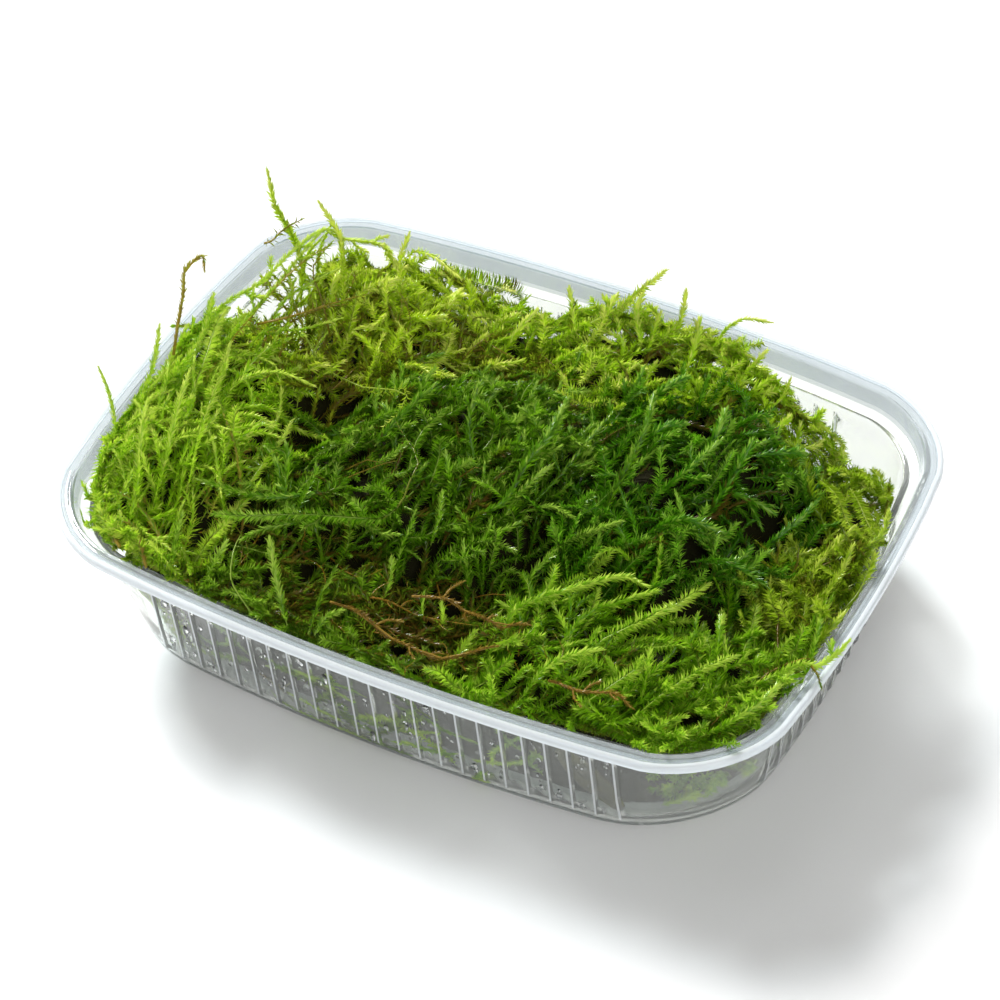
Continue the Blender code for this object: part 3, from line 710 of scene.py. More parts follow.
def tuft_object(name, clump, material):
    """Makes the tuft's mesh from what its clump holds, kept inside the tub."""
    points = push_inside(np.concatenate(clump.points), LEAF_FROM_WALL, FREE_OVER_RIM)
    faces = np.concatenate(clump.faces)
    places = np.concatenate(clump.places)
    mesh = bpy.data.meshes.new(name)
    mesh.vertices.add(len(points))
    mesh.vertices.foreach_set("co", points.astype(np.float32).ravel())
    mesh.loops.add(faces.size)
    mesh.loops.foreach_set("vertex_index", faces.astype(np.int32).ravel())
    mesh.polygons.add(len(faces))
    mesh.polygons.foreach_set("loop_start", np.arange(0, faces.size, 3, dtype=np.int32))
    pattern = mesh.uv_layers.new(name="OFBake")
    pattern.data.foreach_set("uv", places[faces.ravel()].astype(np.float32).ravel())
    mesh.update(calc_edges=True)
    mesh.materials.append(material)
    return in_scene(name, mesh)


# The colour of a leaf from its place in the pattern: across it runs from dead over old and
# fresh to pale, and up it from the leaf's foot to its tip, with the stems above the leaves.
leaf_tint = bpy.data.node_groups.new("leaf_tint", "ShaderNodeTree")
TINTS = ("Dead", "Old", "Fresh", "Pale", "Stem", "Dry Stem")
for label in TINTS:
    leaf_tint.interface.new_socket(name=label, in_out="INPUT", socket_type="NodeSocketColor")
leaf_tint.interface.new_socket(name="Color", in_out="OUTPUT", socket_type="NodeSocketColor")
leaf_tint.interface.new_socket(name="Roughness", in_out="OUTPUT", socket_type="NodeSocketFloat")
wanted = leaf_tint.nodes.new("NodeGroupInput")
given = leaf_tint.nodes.new("NodeGroupOutput")
pattern = new_node(leaf_tint, "UVMap")
pattern.uv_map = "OFBake"
parted = new_node(leaf_tint, "SeparateXYZ", Vector=pattern.outputs["UV"])
tone, height = parted.outputs["X"], parted.outputs["Y"]
colour = wanted.outputs["Dead"]
for label, low, high in (("Old", 0.08, 0.28), ("Fresh", 0.30, 0.58), ("Pale", 0.66, 0.95)):
    share = spread_to(leaf_tint, tone, low, high, 0, 1)
    colour = blend_colours(leaf_tint, share, colour, wanted.outputs[label])
stretch = new_node(leaf_tint, "Mapping", Vector=pattern.outputs["UV"], Scale=(60, 9, 1))
streak = noise_at(leaf_tint, stretch.outputs["Vector"], 6, 3.0, 0.6)
light = spread_to(leaf_tint, streak, 0.3, 0.7, 0.72, 1.28)
shaded = new_node(leaf_tint, "HueSaturation", Color=colour, Value=light)
near_foot = spread_to(leaf_tint, height, 0.02, 0.22, 0.55, 0)
foot = blend_colours(leaf_tint, near_foot, shaded.outputs["Color"], wanted.outputs["Pale"])
alive = spread_to(leaf_tint, tone, 0.15, 0.5, 0, 1)
stem = blend_colours(leaf_tint, alive, wanted.outputs["Dry Stem"], wanted.outputs["Stem"])
is_stem = new_node(leaf_tint, "Math")
is_stem.operation = "GREATER_THAN"
is_stem.inputs[1].default_value = (LEAF_SPAN[1] + STEM_SPAN[0]) / 2
leaf_tint.links.new(height, is_stem.inputs[0])
tinted = blend_colours(leaf_tint, is_stem.outputs["Value"], foot, stem)
leaf_tint.links.new(tinted, given.inputs["Color"])
leaf_tint.links.new(spread_to(leaf_tint, streak, 0.3, 0.7, 0.24, 0.45), given.inputs["Roughness"])


def moss_material(name, dead, old, fresh, pale, stem, dry_stem, glow, through=0.35):
    """Wet thin leaves: they take their colour from the pattern and let some light through."""
    made, tree, output = new_material(name)
    tint = new_node(tree, "Group")
    tint.node_tree = leaf_tint
    for label, value in zip(TINTS, (dead, old, fresh, pale, stem, dry_stem)):
        tint.inputs[label].default_value = (*value, 1)
    leaf = new_node(
        tree, "BsdfPrincipled", Coat_Weight=0.27, Coat_Roughness=0.12, IOR=1.4,
        Specular_IOR_Level=0.35, Base_Color=tint.outputs["Color"], Roughness=tint.outputs["Roughness"],
    )
    surface(tree, output, leaf, through, new_node(tree, "BsdfTranslucent", Color=(*glow, 1)))
    return made


# Lumps per metre of the patches that are fresher or older than the rest
PATCHES = 170


def grow(clump, tuft, layers, comb, spread, dead):
    """Fills a tuft with lying shoots, one layer after the other from the bottom up."""
    area = (reach == TUFTS.index(tuft)).sum() / 100
    for per_square_cm, styles, length, depth, rise, tone, leaf_kind, branched in layers:
        count = int(per_square_cm * area)
        paths = lying_paths(clump, tuft, count, comb, spread, length, depth, rise)
        for corners in paths:
            style = styles[clump.draw.integers(len(styles))]
            shade = clump.draw.normal(tone, 0.09) + 0.22 * noise.noise(Vector(corners[3]) * PATCHES)
            if clump.draw.uniform() < dead:
                style, shade = (HAIR, SLIM, BRUSH)[clump.draw.integers(3)], clump.draw.uniform(0.0, 0.14)
            size = clump.draw.uniform(0.8, 1.15)
            path = add_shoot(clump, corners, style, shade, leaf_kind, size=size)
            if clump.draw.uniform() < branched:
                add_branches(clump, path, style, shade + 0.06, clump.draw.integers(2, 5), 6, leaf_kind)
    beside_wall = wall_paths(tuft, clump.draw, int(WALL_SHOOTS * area / 10))
    for path in beside_wall:
        style = (FLUFF, BRUSH)[clump.draw.integers(2)]
        add_shoot(clump, path, style, clump.draw.normal(0.70, 0.20), FOLDED)


# Where the leaf scrap stands along the near wall, and how far the moss keeps off it, in mm
SCRAP_AT_WALL = (29.5, 6.0)
# Places past the tub's wall that are pushed back onto it, and the heights in mm that they keep to
PAST_WALL = 0.1
FLAT_WALL = (1.6, 18.6)
WALL_STEPS = 6
WALL_TRIES = 12


def wall_paths(tuft, draw, count):
    """Paths of shoots pressed against the inside of the tub beside a tuft."""
    paths = []
    number = TUFTS.index(tuft)
    for _ in range(count * WALL_TRIES):
        if len(paths) == count:
            break
        turn = draw.uniform(0, 2 * math.pi)
        z = draw.uniform(2.5, 18) * MM
        swing = draw.choice((-1, 1)) * draw.uniform(0.004, 0.026)
        climb = draw.uniform(-1.6, 2.4) * MM
        spots = []
        for _ in range(WALL_STEPS):
            on_wall = min(max(z, FLAT_WALL[0] * MM), FLAT_WALL[1] * MM)
            spots.append((PAST_WALL * math.cos(turn), PAST_WALL * math.sin(turn), on_wall))
            turn += swing
            z += climb
            swing += draw.normal(0, 0.006)
            climb += draw.normal(0, 0.5) * MM
        path = push_inside(np.array(spots), draw.uniform(0.5, 1.6) * MM)
        off_scrap = np.abs(path[:, 0] / MM - SCRAP_AT_WALL[0])
        if path[0, 1] < 0 and off_scrap.min() < SCRAP_AT_WALL[1]:
            continue
        row = int(round((path[2, 0] - GRID_X[0]) / GRID))
        column = int(round((path[2, 1] - GRID_Y[0]) / GRID))
        over_tip = ground_at(path[-1:, 0], path[-1:, 1])[0]
        if reach[row, column] == number and path[-1, 2] < over_tip + MM:
            paths.append(path)
    return paths


# A third number below this is a lift over the moss, in mm
LIFTED = 10
PRESSED = 0.7 * MM
Placed = collections.namedtuple("Placed", "spots style tone size branches", defaults=(1.0, 0))


def placed(clump, shoots, at_wall=False):
    """Shoots placed one by one: points in mm, style, tone, size and number of side shoots.

    A point's third number is a lift over the moss when it is small, and a height otherwise.
    Shoots at the wall have heights only, and are pressed against the inside of the tub.
    """
    for row in shoots:
        spots, style, tone, size, branches = Placed(*row)
        path = np.array(spots, float)
        if at_wall:
            path = push_inside(path * MM, PRESSED) / MM
        else:
            on_moss = ground_at(path[:, 0] * MM, path[:, 1] * MM) / MM + path[:, 2]
            path[:, 2] = np.where(path[:, 2] < LIFTED, on_moss, path[:, 2])
        path = add_shoot(clump, path * MM, style, tone, size=size)
        if branches:
            add_branches(clump, path, style, tone, branches, 5)


def dead_mat(clump, centre, spread, count, tone):
    """Short dead brown shoots matted together around a place, in mm, over the green ones."""
    draw = clump.draw
    mat = []
    for _ in range(count):
        x, y = draw.normal(centre, spread)
        heading, step = draw.uniform(0, 2 * math.pi), draw.uniform(1.5, 3.0)
        out_x, out_y = math.cos(heading) * step, math.sin(heading) * step
        tip = (x + out_x, y + out_y, draw.uniform(0.4, 1.6))
        spots = ((x - out_x, y - out_y, -0.3), (x, y, 0.7), tip)
        style = (FLUFF, SLIM, HAIR)[draw.integers(3)]
        mat.append((spots, style, draw.uniform(*tone), draw.uniform(0.8, 1.1)))
    placed(clump, mat)


# What a layer holds: shoots per square cm, styles, length, depth of the root, rise of the tip,
# tone, kind of leaf and share of shoots with side shoots. Lengths are in mm.
BASE = (6.0, (BRUSH, FLUFF), (9, 15), (0.6, 2.6), (-1.6, 0.0), 0.28, SLIVER, 0)
MIDDLE = (7.0, (BRUSH, COMB, FLUFF, SLIM), (8, 15), (0.8, 2.2), (-0.4, 1.4), 0.48, FOLDED, 0.12)
TOP = (6.0, (BRUSH, PLUMP, COMB, FLUFF), (7, 15), (0.6, 1.8), (0.6, 3.0), 0.64, FOLDED, 0.22)
TIPS = (2.2, (BRUSH, PLUMP, COMB), (4, 8), (0.4, 1.2), (2.0, 4.8), 0.70, FOLDED, 0)
LAYERS = (BASE, MIDDLE, TOP, TIPS)
COMBED = (
    BASE, (6.6, (BRUSH, FLUFF, SLIM), (11, 20), (0.8, 2.2), (-0.4, 1.4), 0.52, FOLDED, 0.06),
    (6.5, (BRUSH, SLIM, COMB, SLIM), (12, 21), (0.6, 1.8), (0.4, 2.6), 0.72, FOLDED, 0.08), TIPS,
)
MATTED = (
    BASE, (7.0, (BRUSH, COMB, FLUFF, HAIR), (8, 15), (0.8, 2.2), (-0.4, 1.0), 0.40, FOLDED, 0.1),
    (4.0, (BRUSH, COMB, FLUFF), (7, 14), (0.6, 1.6), (0.3, 2.2), 0.58, FOLDED, 0.2),
    (1.2, (BRUSH, PLUMP), (4, 8), (0.4, 1.2), (1.5, 3.5), 0.66, FOLDED, 0),
)
# Shoots pressed against the wall, for each ten square cm of a tuft
WALL_SHOOTS = 36
DEAD_BROWN = (0.15, 0.075, 0.014)
left = Clump(3)
grow(left, "left_tuft", COMBED, 84, 13, 0.05)
placed(left, (
    (((-47, -4.5, 27), (-48, -1, 30), (-48.5, 1.5, 32.5), (-49.5, 4, 34.5), (-48, 6, 36), (-47, 5, 35)),
     SCALY, -0.20, 1.15),
    (((-45, -14, 23), (-47, -12.5, 26), (-47.5, -8.5, 28.5), (-49, -4, 31)), BRUSH, 0.80, 0.85),
    (((-46, -19, 21), (-48, -18, 23.5), (-49.5, -16, 25), (-51.5, -14, 27), (-53.5, -12.5, 28.5)),
     SLIM, 0.80, 0.95),
    (((-37, -35, 0.4), (-41, -31.5, 0.4), (-44.5, -27.5, 0.4), (-46, -24.5, 0.6)), SCALY, 0.16, 1.6),
    (((-32.5, -36, 0.5), (-35.5, -32.5, 0.8), (-37.5, -31, 1.2), (-39, -31, 1.4)), SCALY, 0.08, 1.3),
    (((-37.5, -26.5, 0.5), (-38, -21.5, 2), (-40.5, -14, 2.5), (-42.5, -7.5, 3)), BRUSH, 0.76, 1.0, 2),
    (((-34, -23, 0.5), (-35.5, -16.5, 2), (-38, -8, 2.5), (-40.5, -0.5, 3)), COMB, 0.80),
    (((-38.5, -30.5, 0.5), (-40, -25.5, 1.8), (-42.5, -20, 2.2), (-45, -14.5, 2.5)), BRUSH, 0.72, 1.1),
    (((-48, -3, 22), (-46.5, 0.5, 25), (-43.5, 3.5, 31), (-40, 7.5, 33), (-38.5, 13, 34.5), (-36.5, 19, 35),
      (-34, 20.5, 33)), BRUSH, 0.84, 0.72, 4),
    (((-45, -3, 22), (-43.5, 0.5, 25), (-41, 1, 28.5), (-38.5, 5, 32), (-37.5, 10.5, 33.5), (-37, 15, 34.5),
      (-36.5, 19, 35)), SLIM, 0.78, 0.9, 3),
    (((-42, -2, 23), (-42, 1.5, 26), (-39.5, 3, 30), (-38, 6.5, 32.5), (-36.5, 12.5, 34),
      (-34.5, 17, 34.5)), HAIR, 0.12, 1.4),
    (((-38.5, 1.5, 23), (-37.5, 3.5, 28), (-36.5, 8, 31), (-34.5, 11.5, 32), (-33, 16, 31.5)),
     SLIM, 0.70, 0.8, 3),
    (((-40.5, 2, 24), (-37.5, 4.5, 28), (-33, 5.5, 29), (-28.5, 9, 30)), SLIM, 0.72, 0.75, 2),
    (((-44, -8, 0.5), (-45, -2, 2), (-46, 4, 3), (-46.5, 9, 3.4)), BRUSH, 0.82, 0.9),
    (((-41, -12, 0.5), (-42, -5, 2), (-44, 2, 3), (-45, 6, 3.6)), COMB, 0.84, 0.95),
))
left_leaf = moss_material(
    "yellow_green_moss", (0.44, 0.27, 0.055), (0.11, 0.27, 0.008), (0.38, 0.66, 0.012), (0.88, 0.99, 0.16),
    (0.50, 0.62, 0.10), (0.52, 0.30, 0.05), (0.62, 0.92, 0.05),
)
left_tuft = tuft_object("left_tuft_leaves", left, left_leaf)
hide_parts("left_tuft")
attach(left_tuft, "root")

# Back left tuft
# The highest handful: green and olive shoots over brown old ones, with a tall pale shoot and
# loose arching stems that leave gaps between them.
back_left = Clump(5)
grow(back_left, "back_left_tuft", LAYERS, 70, 45, 0.28)
placed(back_left, (
    (((-38, 14, 24), (-39, 16.5, 30), (-40, 17, 33), (-40, 15.5, 37), (-41, 14.5, 41), (-43, 16.5, 44.6)),
     PLUMP, 0.70, 0.82),
    (((-41, 11, 37), (-40, 11.5, 37.5), (-39.5, 13.5, 38), (-38, 16, 38.5)), HAIR, 0.05, 1.5),
    (((-32, 15, 24), (-32.5, 17, 30), (-33, 17.5, 33), (-34, 19, 35), (-38, 21, 37.5)), BRUSH, 0.86, 0.9),
    (((-36.5, 19, 35), (-33.5, 19, 34.5), (-30, 21, 33.5), (-28, 21.5, 32.5), (-26, 20.5, 30.5)),
     SLIM, 0.74, 1.0, 3),
    (((-25, 20, 25), (-26.5, 22, 29.5), (-27, 23.5, 31), (-27, 25.5, 32.5)), BRUSH, 0.88, 0.9),
    (((-26, 22.5, 31), (-25, 24, 31.5), (-22.5, 25, 30.5), (-19.5, 25.5, 28)), COMB, 0.80, 0.9),
    (((-38, 3, 30), (-35.5, 4, 31), (-34, 5.5, 31), (-30.5, 10, 31), (-27.5, 15, 30)), HAIR, 0.05, 1.7),
    (((-35, 3.5, 26), (-35.5, 7.5, 30), (-36.5, 10, 32), (-39, 11.5, 34)), SLIM, 0.62, 0.8),
    (((-30.5, 9, 26), (-32.5, 11, 30), (-35, 13, 33), (-34.5, 17.5, 34.5)), HAIR, 0.14, 1.3),
    (((-32.5, 5.5, 29), (-30, 5, 1.8), (-26.5, 3.5, 1.8), (-24.5, 4, 2), (-18.5, 1.5, 2.4),
      (-15, 1.5, 2.6), (-13.5, 0, 2.4), (-13.5, -2.5, 2), (-14.5, -4.5, 1.2)), HAIR, 0.50, 1.2),
    (((-28.5, 9.5, 0.5), (-29.5, 15.5, 2), (-27, 17.5, 2.4), (-26.5, 21, 2.6)), COMB, 0.80),
    (((-18, 17.5, 0.5), (-19, 21, 2), (-19.5, 24, 2.6), (-20.5, 28, 3)), BRUSH, 0.78),
    (((-36, 18, 18), (-38, 19, 26), (-37.5, 19.5, 31), (-36, 20, 35)), SLIM, 0.50, 0.9, 2),
    (((-40, 22, 16), (-41, 20, 24), (-39, 18.5, 30), (-36.5, 18.5, 34)), SLIM, 0.60, 0.85, 2),
    (((-43, 20, 14), (-44, 17, 22), (-43, 13, 28), (-40, 10, 32)), HAIR, 0.10, 1.5),
    (((-31, 12, 0.5), (-33, 14, 2), (-35, 18, 3), (-36, 22, 3)), BRUSH, 0.80),
    (((-41, 4, 22), (-38, 8, 25), (-34, 12, 27), (-30, 14, 28)), HAIR, 0.08, 1.6),
    (((-43, 9, 20), (-39, 10, 25), (-36, 12, 28), (-34, 15, 31)), SLIM, 0.40, 0.9, 2),
    (((-36, 2, 22), (-36, 7, 26), (-38, 12, 28), (-41, 16, 28)), HAIR, 0.02, 1.6),
    (((-32, 6, 24), (-35, 9, 27), (-39, 12, 29), (-42, 13, 30)), SLIM, 0.16, 0.8, 2),
    (((-38, 24, 12), (-39, 21, 20), (-38, 18, 26), (-35, 16, 30)), SLIM, 0.30, 1.0, 2),
    (((-45, 14, 14), (-43, 12, 20), (-40, 8, 24), (-37, 5, 26)), HAIR, 0.12, 1.7),
    (((-30, 24, 0.5), (-30, 25, 2), (-29, 27, 3.4)), BRUSH, 0.84),
    (((-22, 22, 0.5), (-21, 24, 2), (-19, 26, 3.4)), BRUSH, 0.80),
))
dead_mat(back_left, (-31, 6), (4.5, 3.5), 70, (0.0, 0.16))
# Fresh and pale colours lighter than the middle's: partly its own, partly painted light on the lit back
back_left_leaf = moss_material(
    "green_moss", DEAD_BROWN, (0.19, 0.31, 0.011), (0.58, 0.82, 0.020), (0.98, 1.0, 0.22),
    (0.44, 0.54, 0.08), (0.32, 0.17, 0.03), (0.68, 0.90, 0.04),
)
back_left_tuft = tuft_object("back_left_tuft_leaves", back_left, back_left_leaf)
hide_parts("back_left_tuft")
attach(back_left_tuft, "root")

# Middle tuft
# Mid-green shoots over the centre of the heap, with blue-green plump tips and thin yellow
# stems that hang over them.
middle = Clump(7)
grow(middle, "middle_tuft", LAYERS, 68, 45, 0.10)
placed(middle, (
    (((2, -13, 0.5), (4.5, -11.5, 2), (6, -9, 2.6), (6, -3.5, 3.2), (6.5, 1.5, 3.4), (4.5, 11.5, 3.6)),
     PLUMP, 0.60, 1.1),
    (((6, -10.5, 0.6), (6.5, -8.5, 2.2), (7.5, -5.5, 2.8), (8.5, -1.5, 3.2)), BRUSH, 0.88, 0.95),
    (((-1, -4.5, 0.5), (-4.5, 0.5, 2.2), (-6, 6, 3)), BRUSH, 0.62, 1.15, 2),
    (((-0.5, -10.5, 0.5), (-2, -9.5, 2.4), (-3.5, -7.5, 3.2)), PLUMP, 0.72, 0.9),
    (((-1, -17, 0.5), (-1, -14.5, 2.2), (-1.5, -12.5, 3)), BRUSH, 0.82, 0.9),
    (((-7.5, -18, 1), (-6, -15.5, 1.8), (-6, -13.5, 2.2), (-6.5, -9.5, 2.6), (-9.5, -7, 2.8),
      (-13, -4, 2.6)), HAIR, 0.30, 1.2),
    (((7.5, -17, 0.5), (7, -14, 2.4), (6.5, -13.5, 2.8)), COMB, 0.78),
    (((12.5, -10.5, 0.5), (16.5, -9.5, 2.6), (21.5, -7.5, 3.4)), BRUSH, 0.92, 0.95),
    (((7.5, -8.5, 1), (10.5, -6.5, 2.6), (12.5, -6.5, 3), (15, -7.5, 3)), SLIM, 0.88, 1.05),
    (((8, -7, 0.5), (9.5, -1, 2), (10, 6.5, 2.6), (10.5, 12, 3)), SLIM, 0.60, 1.1, 3),
    (((17.5, -5.5, 0.5), (18, 0, 2.4), (17.5, 8, 3), (14.5, 17, 3.4)), PLUMP, 0.62),
    (((-5.5, -13, 0.8), (-7, -18, 2), (-10.5, -19.5, 2.5), (-14.5, -21, 2.8), (-18, -22, 3),
      (-24, -23.5, 3), (-28, -25.5, 2.5)), COMB, 0.74, 1.0, 3),
    (((-13.5, -21, 0.8), (-17, -22, 1.8), (-21.5, -24, 2.2), (-23.5, -26.5, 2)), BRUSH, 0.74, 0.9),
    (((-15.5, -17.5, 0.8), (-24.5, -19.5, 2), (-32, -22.5, 2.5)), BRUSH, 0.70, 1.0, 2),
    (((-14, -8, 0.5), (-13, -3, 2), (-11, 3, 2.8)), PLUMP, 0.60),
    (((-8, -10, 0.5), (-9, -5, 2.2), (-8, 0, 3)), COMB, 0.66),
))
middle_leaf = moss_material(
    "mid_green_moss", DEAD_BROWN, (0.03, 0.085, 0.003), (0.13, 0.33, 0.005), (0.54, 0.78, 0.10),
    (0.36, 0.52, 0.08), (0.26, 0.15, 0.02), (0.26, 0.56, 0.012),
)
middle_tuft = tuft_object("middle_tuft_leaves", middle, middle_leaf)
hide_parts("middle_tuft")
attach(middle_tuft, "root")

# Right end tuft
# The low handful at the right end: olive fluffy shoots with thin stems, pressed against the wall
# and brown in their middle, held only by the tangle.
right_end = Clump(9)
grow(right_end, "right_end_tuft", LAYERS, 125, 45, 0.14)
placed(right_end, (
    (((37, 21, 1.2), (41, 17, 2.6), (44.5, 13, 2.6), (47.5, 10.5, 1.8)), COMB, 0.84),
    (((41.5, 20.5, 1.2), (44, 17.5, 2.4), (47, 14, 2.4), (49.5, 11.5, 1.6)), COMB, 0.80),
    (((46.5, -13, 0.8), (44, -8, 2), (42, -2.5, 2.4)), SCALY, 0.10, 0.8),
    (((42, 2, 0.5), (45, 6, 2), (46, 11, 3)), BRUSH, 0.78),
    (((46, -4, 0.5), (48, 1, 2), (48, 6, 3)), BRUSH, 0.72),
    (((38, 26, 0.8), (41, 25, 2.2), (44, 22, 3)), BRUSH, 0.80),
    (((49, -12, 0.5), (50.5, -8, 2), (51.2, -3, 3)), BRUSH, 0.74, 1.1),
    (((49.5, -3, 0.5), (51, 1, 2), (51, 6, 3)), COMB, 0.76, 1.1),
    (((48, 8, 0.5), (49.5, 12, 2), (48.5, 17, 3)), BRUSH, 0.76),
))
dead_mat(right_end, (46, 1), (1.6, 5), 30, (0.04, 0.2))
right_end_leaf = moss_material(
    "olive_moss", DEAD_BROWN, (0.09, 0.15, 0.006), (0.29, 0.46, 0.008), (0.78, 0.88, 0.12),
    (0.44, 0.54, 0.08), (0.26, 0.14, 0.02), (0.50, 0.76, 0.03),
)
right_end_tuft = tuft_object("right_end_tuft_leaves", right_end, right_end_leaf)
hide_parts("right_end_tuft")
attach(right_end_tuft, "root")

# Right tuft
# Deep green leafy shoots that point to the back right. They lie over the middle ones and are
# held only by the tangle.
right = Clump(11)
grow(right, "right_tuft", LAYERS, 72, 40, 0.06)
placed(right, (
    (((31, -6.5, 0.5), (34.5, -5, 2.4), (37.5, -2.5, 2.6), (40, -2, 2.2)), COMB, 0.66, 1.05),
    (((36, 2.5, 0.5), (37.5, 5.5, 2.4), (38.5, 11.5, 2.8), (39, 15.5, 2.2)), BRUSH, 0.64, 1.05),
    (((22, 0, 0.5), (25, 5.5, 2.2), (26.5, 12, 2.8)), BRUSH, 0.78, 1.05, 2),
    (((25, 9, 0.5), (25.5, 13, 2.6), (24.5, 18, 3.2)), PLUMP, 0.72, 1.05),
    (((16, 4, 0.5), (19, 9, 2.2), (20, 15, 3)), PLUMP, 0.66),
    (((29, 2, 0.5), (30, 8, 2.2), (30, 14, 3)), PLUMP, 0.60, 1.1),
    (((12, 14, 0.5), (15, 19, 2.4), (16, 24, 3.2)), PLUMP, 0.70),
    (((24, -6, 0.5), (28, -3, 2.2), (32, 1, 3)), BRUSH, 0.66, 1.1),
    (((30, 14, 0.5), (33, 18, 2.4), (34, 23, 3.2)), PLUMP, 0.66),
))
right_leaf = moss_material(
    "deep_green_moss", DEAD_BROWN, (0.02, 0.075, 0.002), (0.08, 0.28, 0.003), (0.42, 0.70, 0.07),
    (0.24, 0.42, 0.06), (0.20, 0.12, 0.02), (0.18, 0.52, 0.010),
)
right_tuft = tuft_object("right_tuft_leaves", right, right_leaf)
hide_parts("right_tuft")
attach(right_tuft, "root")

# Back tuft
# Olive leafy shoots along the back, with three pale ones that stand out of them. The handful
# leans on the tub's back wall.
back = Clump(13)
grow(back, "back_tuft", LAYERS, 60, 50, 0.12)
placed(back, (
    (((-4, 27, 0.5), (-0.5, 31, 2), (2, 33, 25), (4.5, 33, 28.5), (6.5, 36.5, 30)), COMB, 0.92),
    (((-2.5, 27.5, 0.5), (-4.5, 30.5, 3), (-6, 32.5, 25)), BRUSH, 0.84, 0.9),
    (((8.5, 31, 0.5), (10.5, 33, 25), (10, 36, 28)), BRUSH, 0.88, 0.95),
    (((15, 33, 0.5), (16, 33, 23), (17, 34, 25.5), (19, 35.5, 27), (22, 37.5, 26)), SLIM, 0.80, 0.9),
    (((-11, 21, 0.5), (-10, 25, 2.4), (-9.5, 29, 2.8)), PLUMP, 0.76),
    (((7, 28.5, 0.5), (4, 33, 2.6), (3.5, 36, 4.5)), BRUSH, 0.82),
    (((14, 28, 0.5), (13.5, 32, 2.8), (12.5, 35, 4.5)), PLUMP, 0.78),
    (((-15, 23, 1), (-11, 21, 2), (-6.5, 21, 2)), HAIR, 0.20, 1.2),
    (((31, 27, 0.5), (32.5, 29, 1.6), (33, 30.5, 2.2)), BRUSH, 0.80, 0.9),
    (((21, 31, 0.5), (22, 33, 3), (22.5, 35, 4)), BRUSH, 0.82, 0.9),
    (((0, 29, 0.5), (0.5, 32, 3), (0, 35, 4.5)), BRUSH, 0.84, 0.95),
    (((26, 28, 0.5), (27, 31, 3), (27, 33, 4.2)), COMB, 0.80, 0.95),
))
dead_mat(back, (-8, 21), (6, 2), 30, (0.0, 0.16))
# Fresh and pale colours lighter than the middle's: partly its own, partly painted light on the lit back
back_leaf = moss_material(
    "back_olive_moss", DEAD_BROWN, (0.15, 0.29, 0.011), (0.51, 0.80, 0.018), (0.98, 1.0, 0.22),
    (0.46, 0.56, 0.08), (0.28, 0.15, 0.02), (0.64, 0.90, 0.04),
)
back_tuft = tuft_object("back_tuft_leaves", back, back_leaf)
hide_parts("back_tuft")
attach(back_tuft, "root")

# Front tuft
# Bright feathery shoots at the near right, with leaves in two rows or all round thin stems. One
# shoot reaches over the tub's rim and hangs there.
front = Clump(15)
grow(front, "front_tuft", LAYERS, 48, 35, 0.07)
placed(front, (
    (((26.5, -25.5, 0.5), (26, -22.5, 2.2), (30, -17.5, 3.2), (32, -12, 3.6), (34, -8.5, 3.6)),
     COMB, 0.88, 1.2),
    (((15.5, -28, 0.5), (14.5, -25, 2), (15.5, -22, 2.8), (20.5, -16.5, 3.8), (24.5, -13, 3.6),
      (27.5, -12.5, 2.6)), BRUSH, 0.82, 1.1),
    (((46, -19, 1), (46, -18, 2.4), (47.5, -15, 3.4), (50, -12.5, 3.6), (51.5, -12, 3), (52, -13.5, 2)),
     HAIR, 0.12, 1.5),
    (((44, -20.5, 1), (47, -18, 2.6), (50.4, -16, 23.6), (52.4, -14.4, 22.9), (53.6, -11.8, 23),
      (54.3, -10, 23.6)), BRUSH, 0.92, 0.95, 2),
    (((51.8, -15.4, 23.4), (53.2, -16.6, 23.6), (54.1, -17.6, 22.9)), SCALY, 0.10, 0.8),
    (((21, -34.5, 0.5), (23, -31.5, 2.4), (25.5, -28.5, 3.2), (28, -26.5, 3.4)), BRUSH, 0.82, 1.1),
    (((35.5, -30.5, 0.5), (37.5, -27.5, 2.4), (40, -23, 3.2), (42.5, -18, 3.4)), COMB, 0.84, 1.1),
    (((43.5, -30, 0.5), (46.5, -27.5, 2.2), (48.5, -22.5, 2.8), (49, -15, 3.2)), BRUSH, 0.82, 1.05),
    (((21.5, -24, 0.5), (22.5, -18.5, 2.4), (26, -15, 3), (29, -13, 3.2)), PLUMP, 0.68),
    (((42, -14, 0.5), (41, -9.5, 2.4), (40, -6, 3)), COMB, 0.74),
    (((40.5, -19, 0.5), (39.5, -16, 2.4), (36.5, -8.5, 3)), BRUSH, 0.74),
    (((50.5, -15, 0.5), (50, -10.5, 2.4), (49, -5.5, 2.8)), BRUSH, 0.70),
    (((28, -33, 0.5), (31, -30, 2.4), (34, -25, 3.2)), COMB, 0.82, 1.1),
    (((6, -26.5, 0.5), (5, -25, 2.6), (4, -23.5, 3.4)), BRUSH, 0.92, 0.85),
))
placed(front, (
    (((40.9, -30.7, 5.4), (42, -31, 8), (43.5, -31, 11)), BRUSH, 0.42),
    (((44, -29.5, 12.2), (46.8, -28.5, 12.6), (48.5, -27, 13)), SLIM, 0.90, 1.2),
    (((38.5, -30, 3.2), (40.3, -29, 4.2), (42.4, -27.5, 5.4)), PLUMP, 0.98),
    (((23.8, -35, 16.4), (24.6, -35, 15.2), (25.8, -35, 13.4)), BARE, -0.2, 1.5),
), at_wall=True)
front_leaf = moss_material(
    "front_green_moss", DEAD_BROWN, (0.055, 0.16, 0.004), (0.22, 0.48, 0.007), (0.72, 0.92, 0.11),
    (0.46, 0.62, 0.08), (0.34, 0.18, 0.02), (0.48, 0.82, 0.03),
)
front_tuft = tuft_object("front_tuft_leaves", front, front_leaf)
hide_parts("front_tuft")
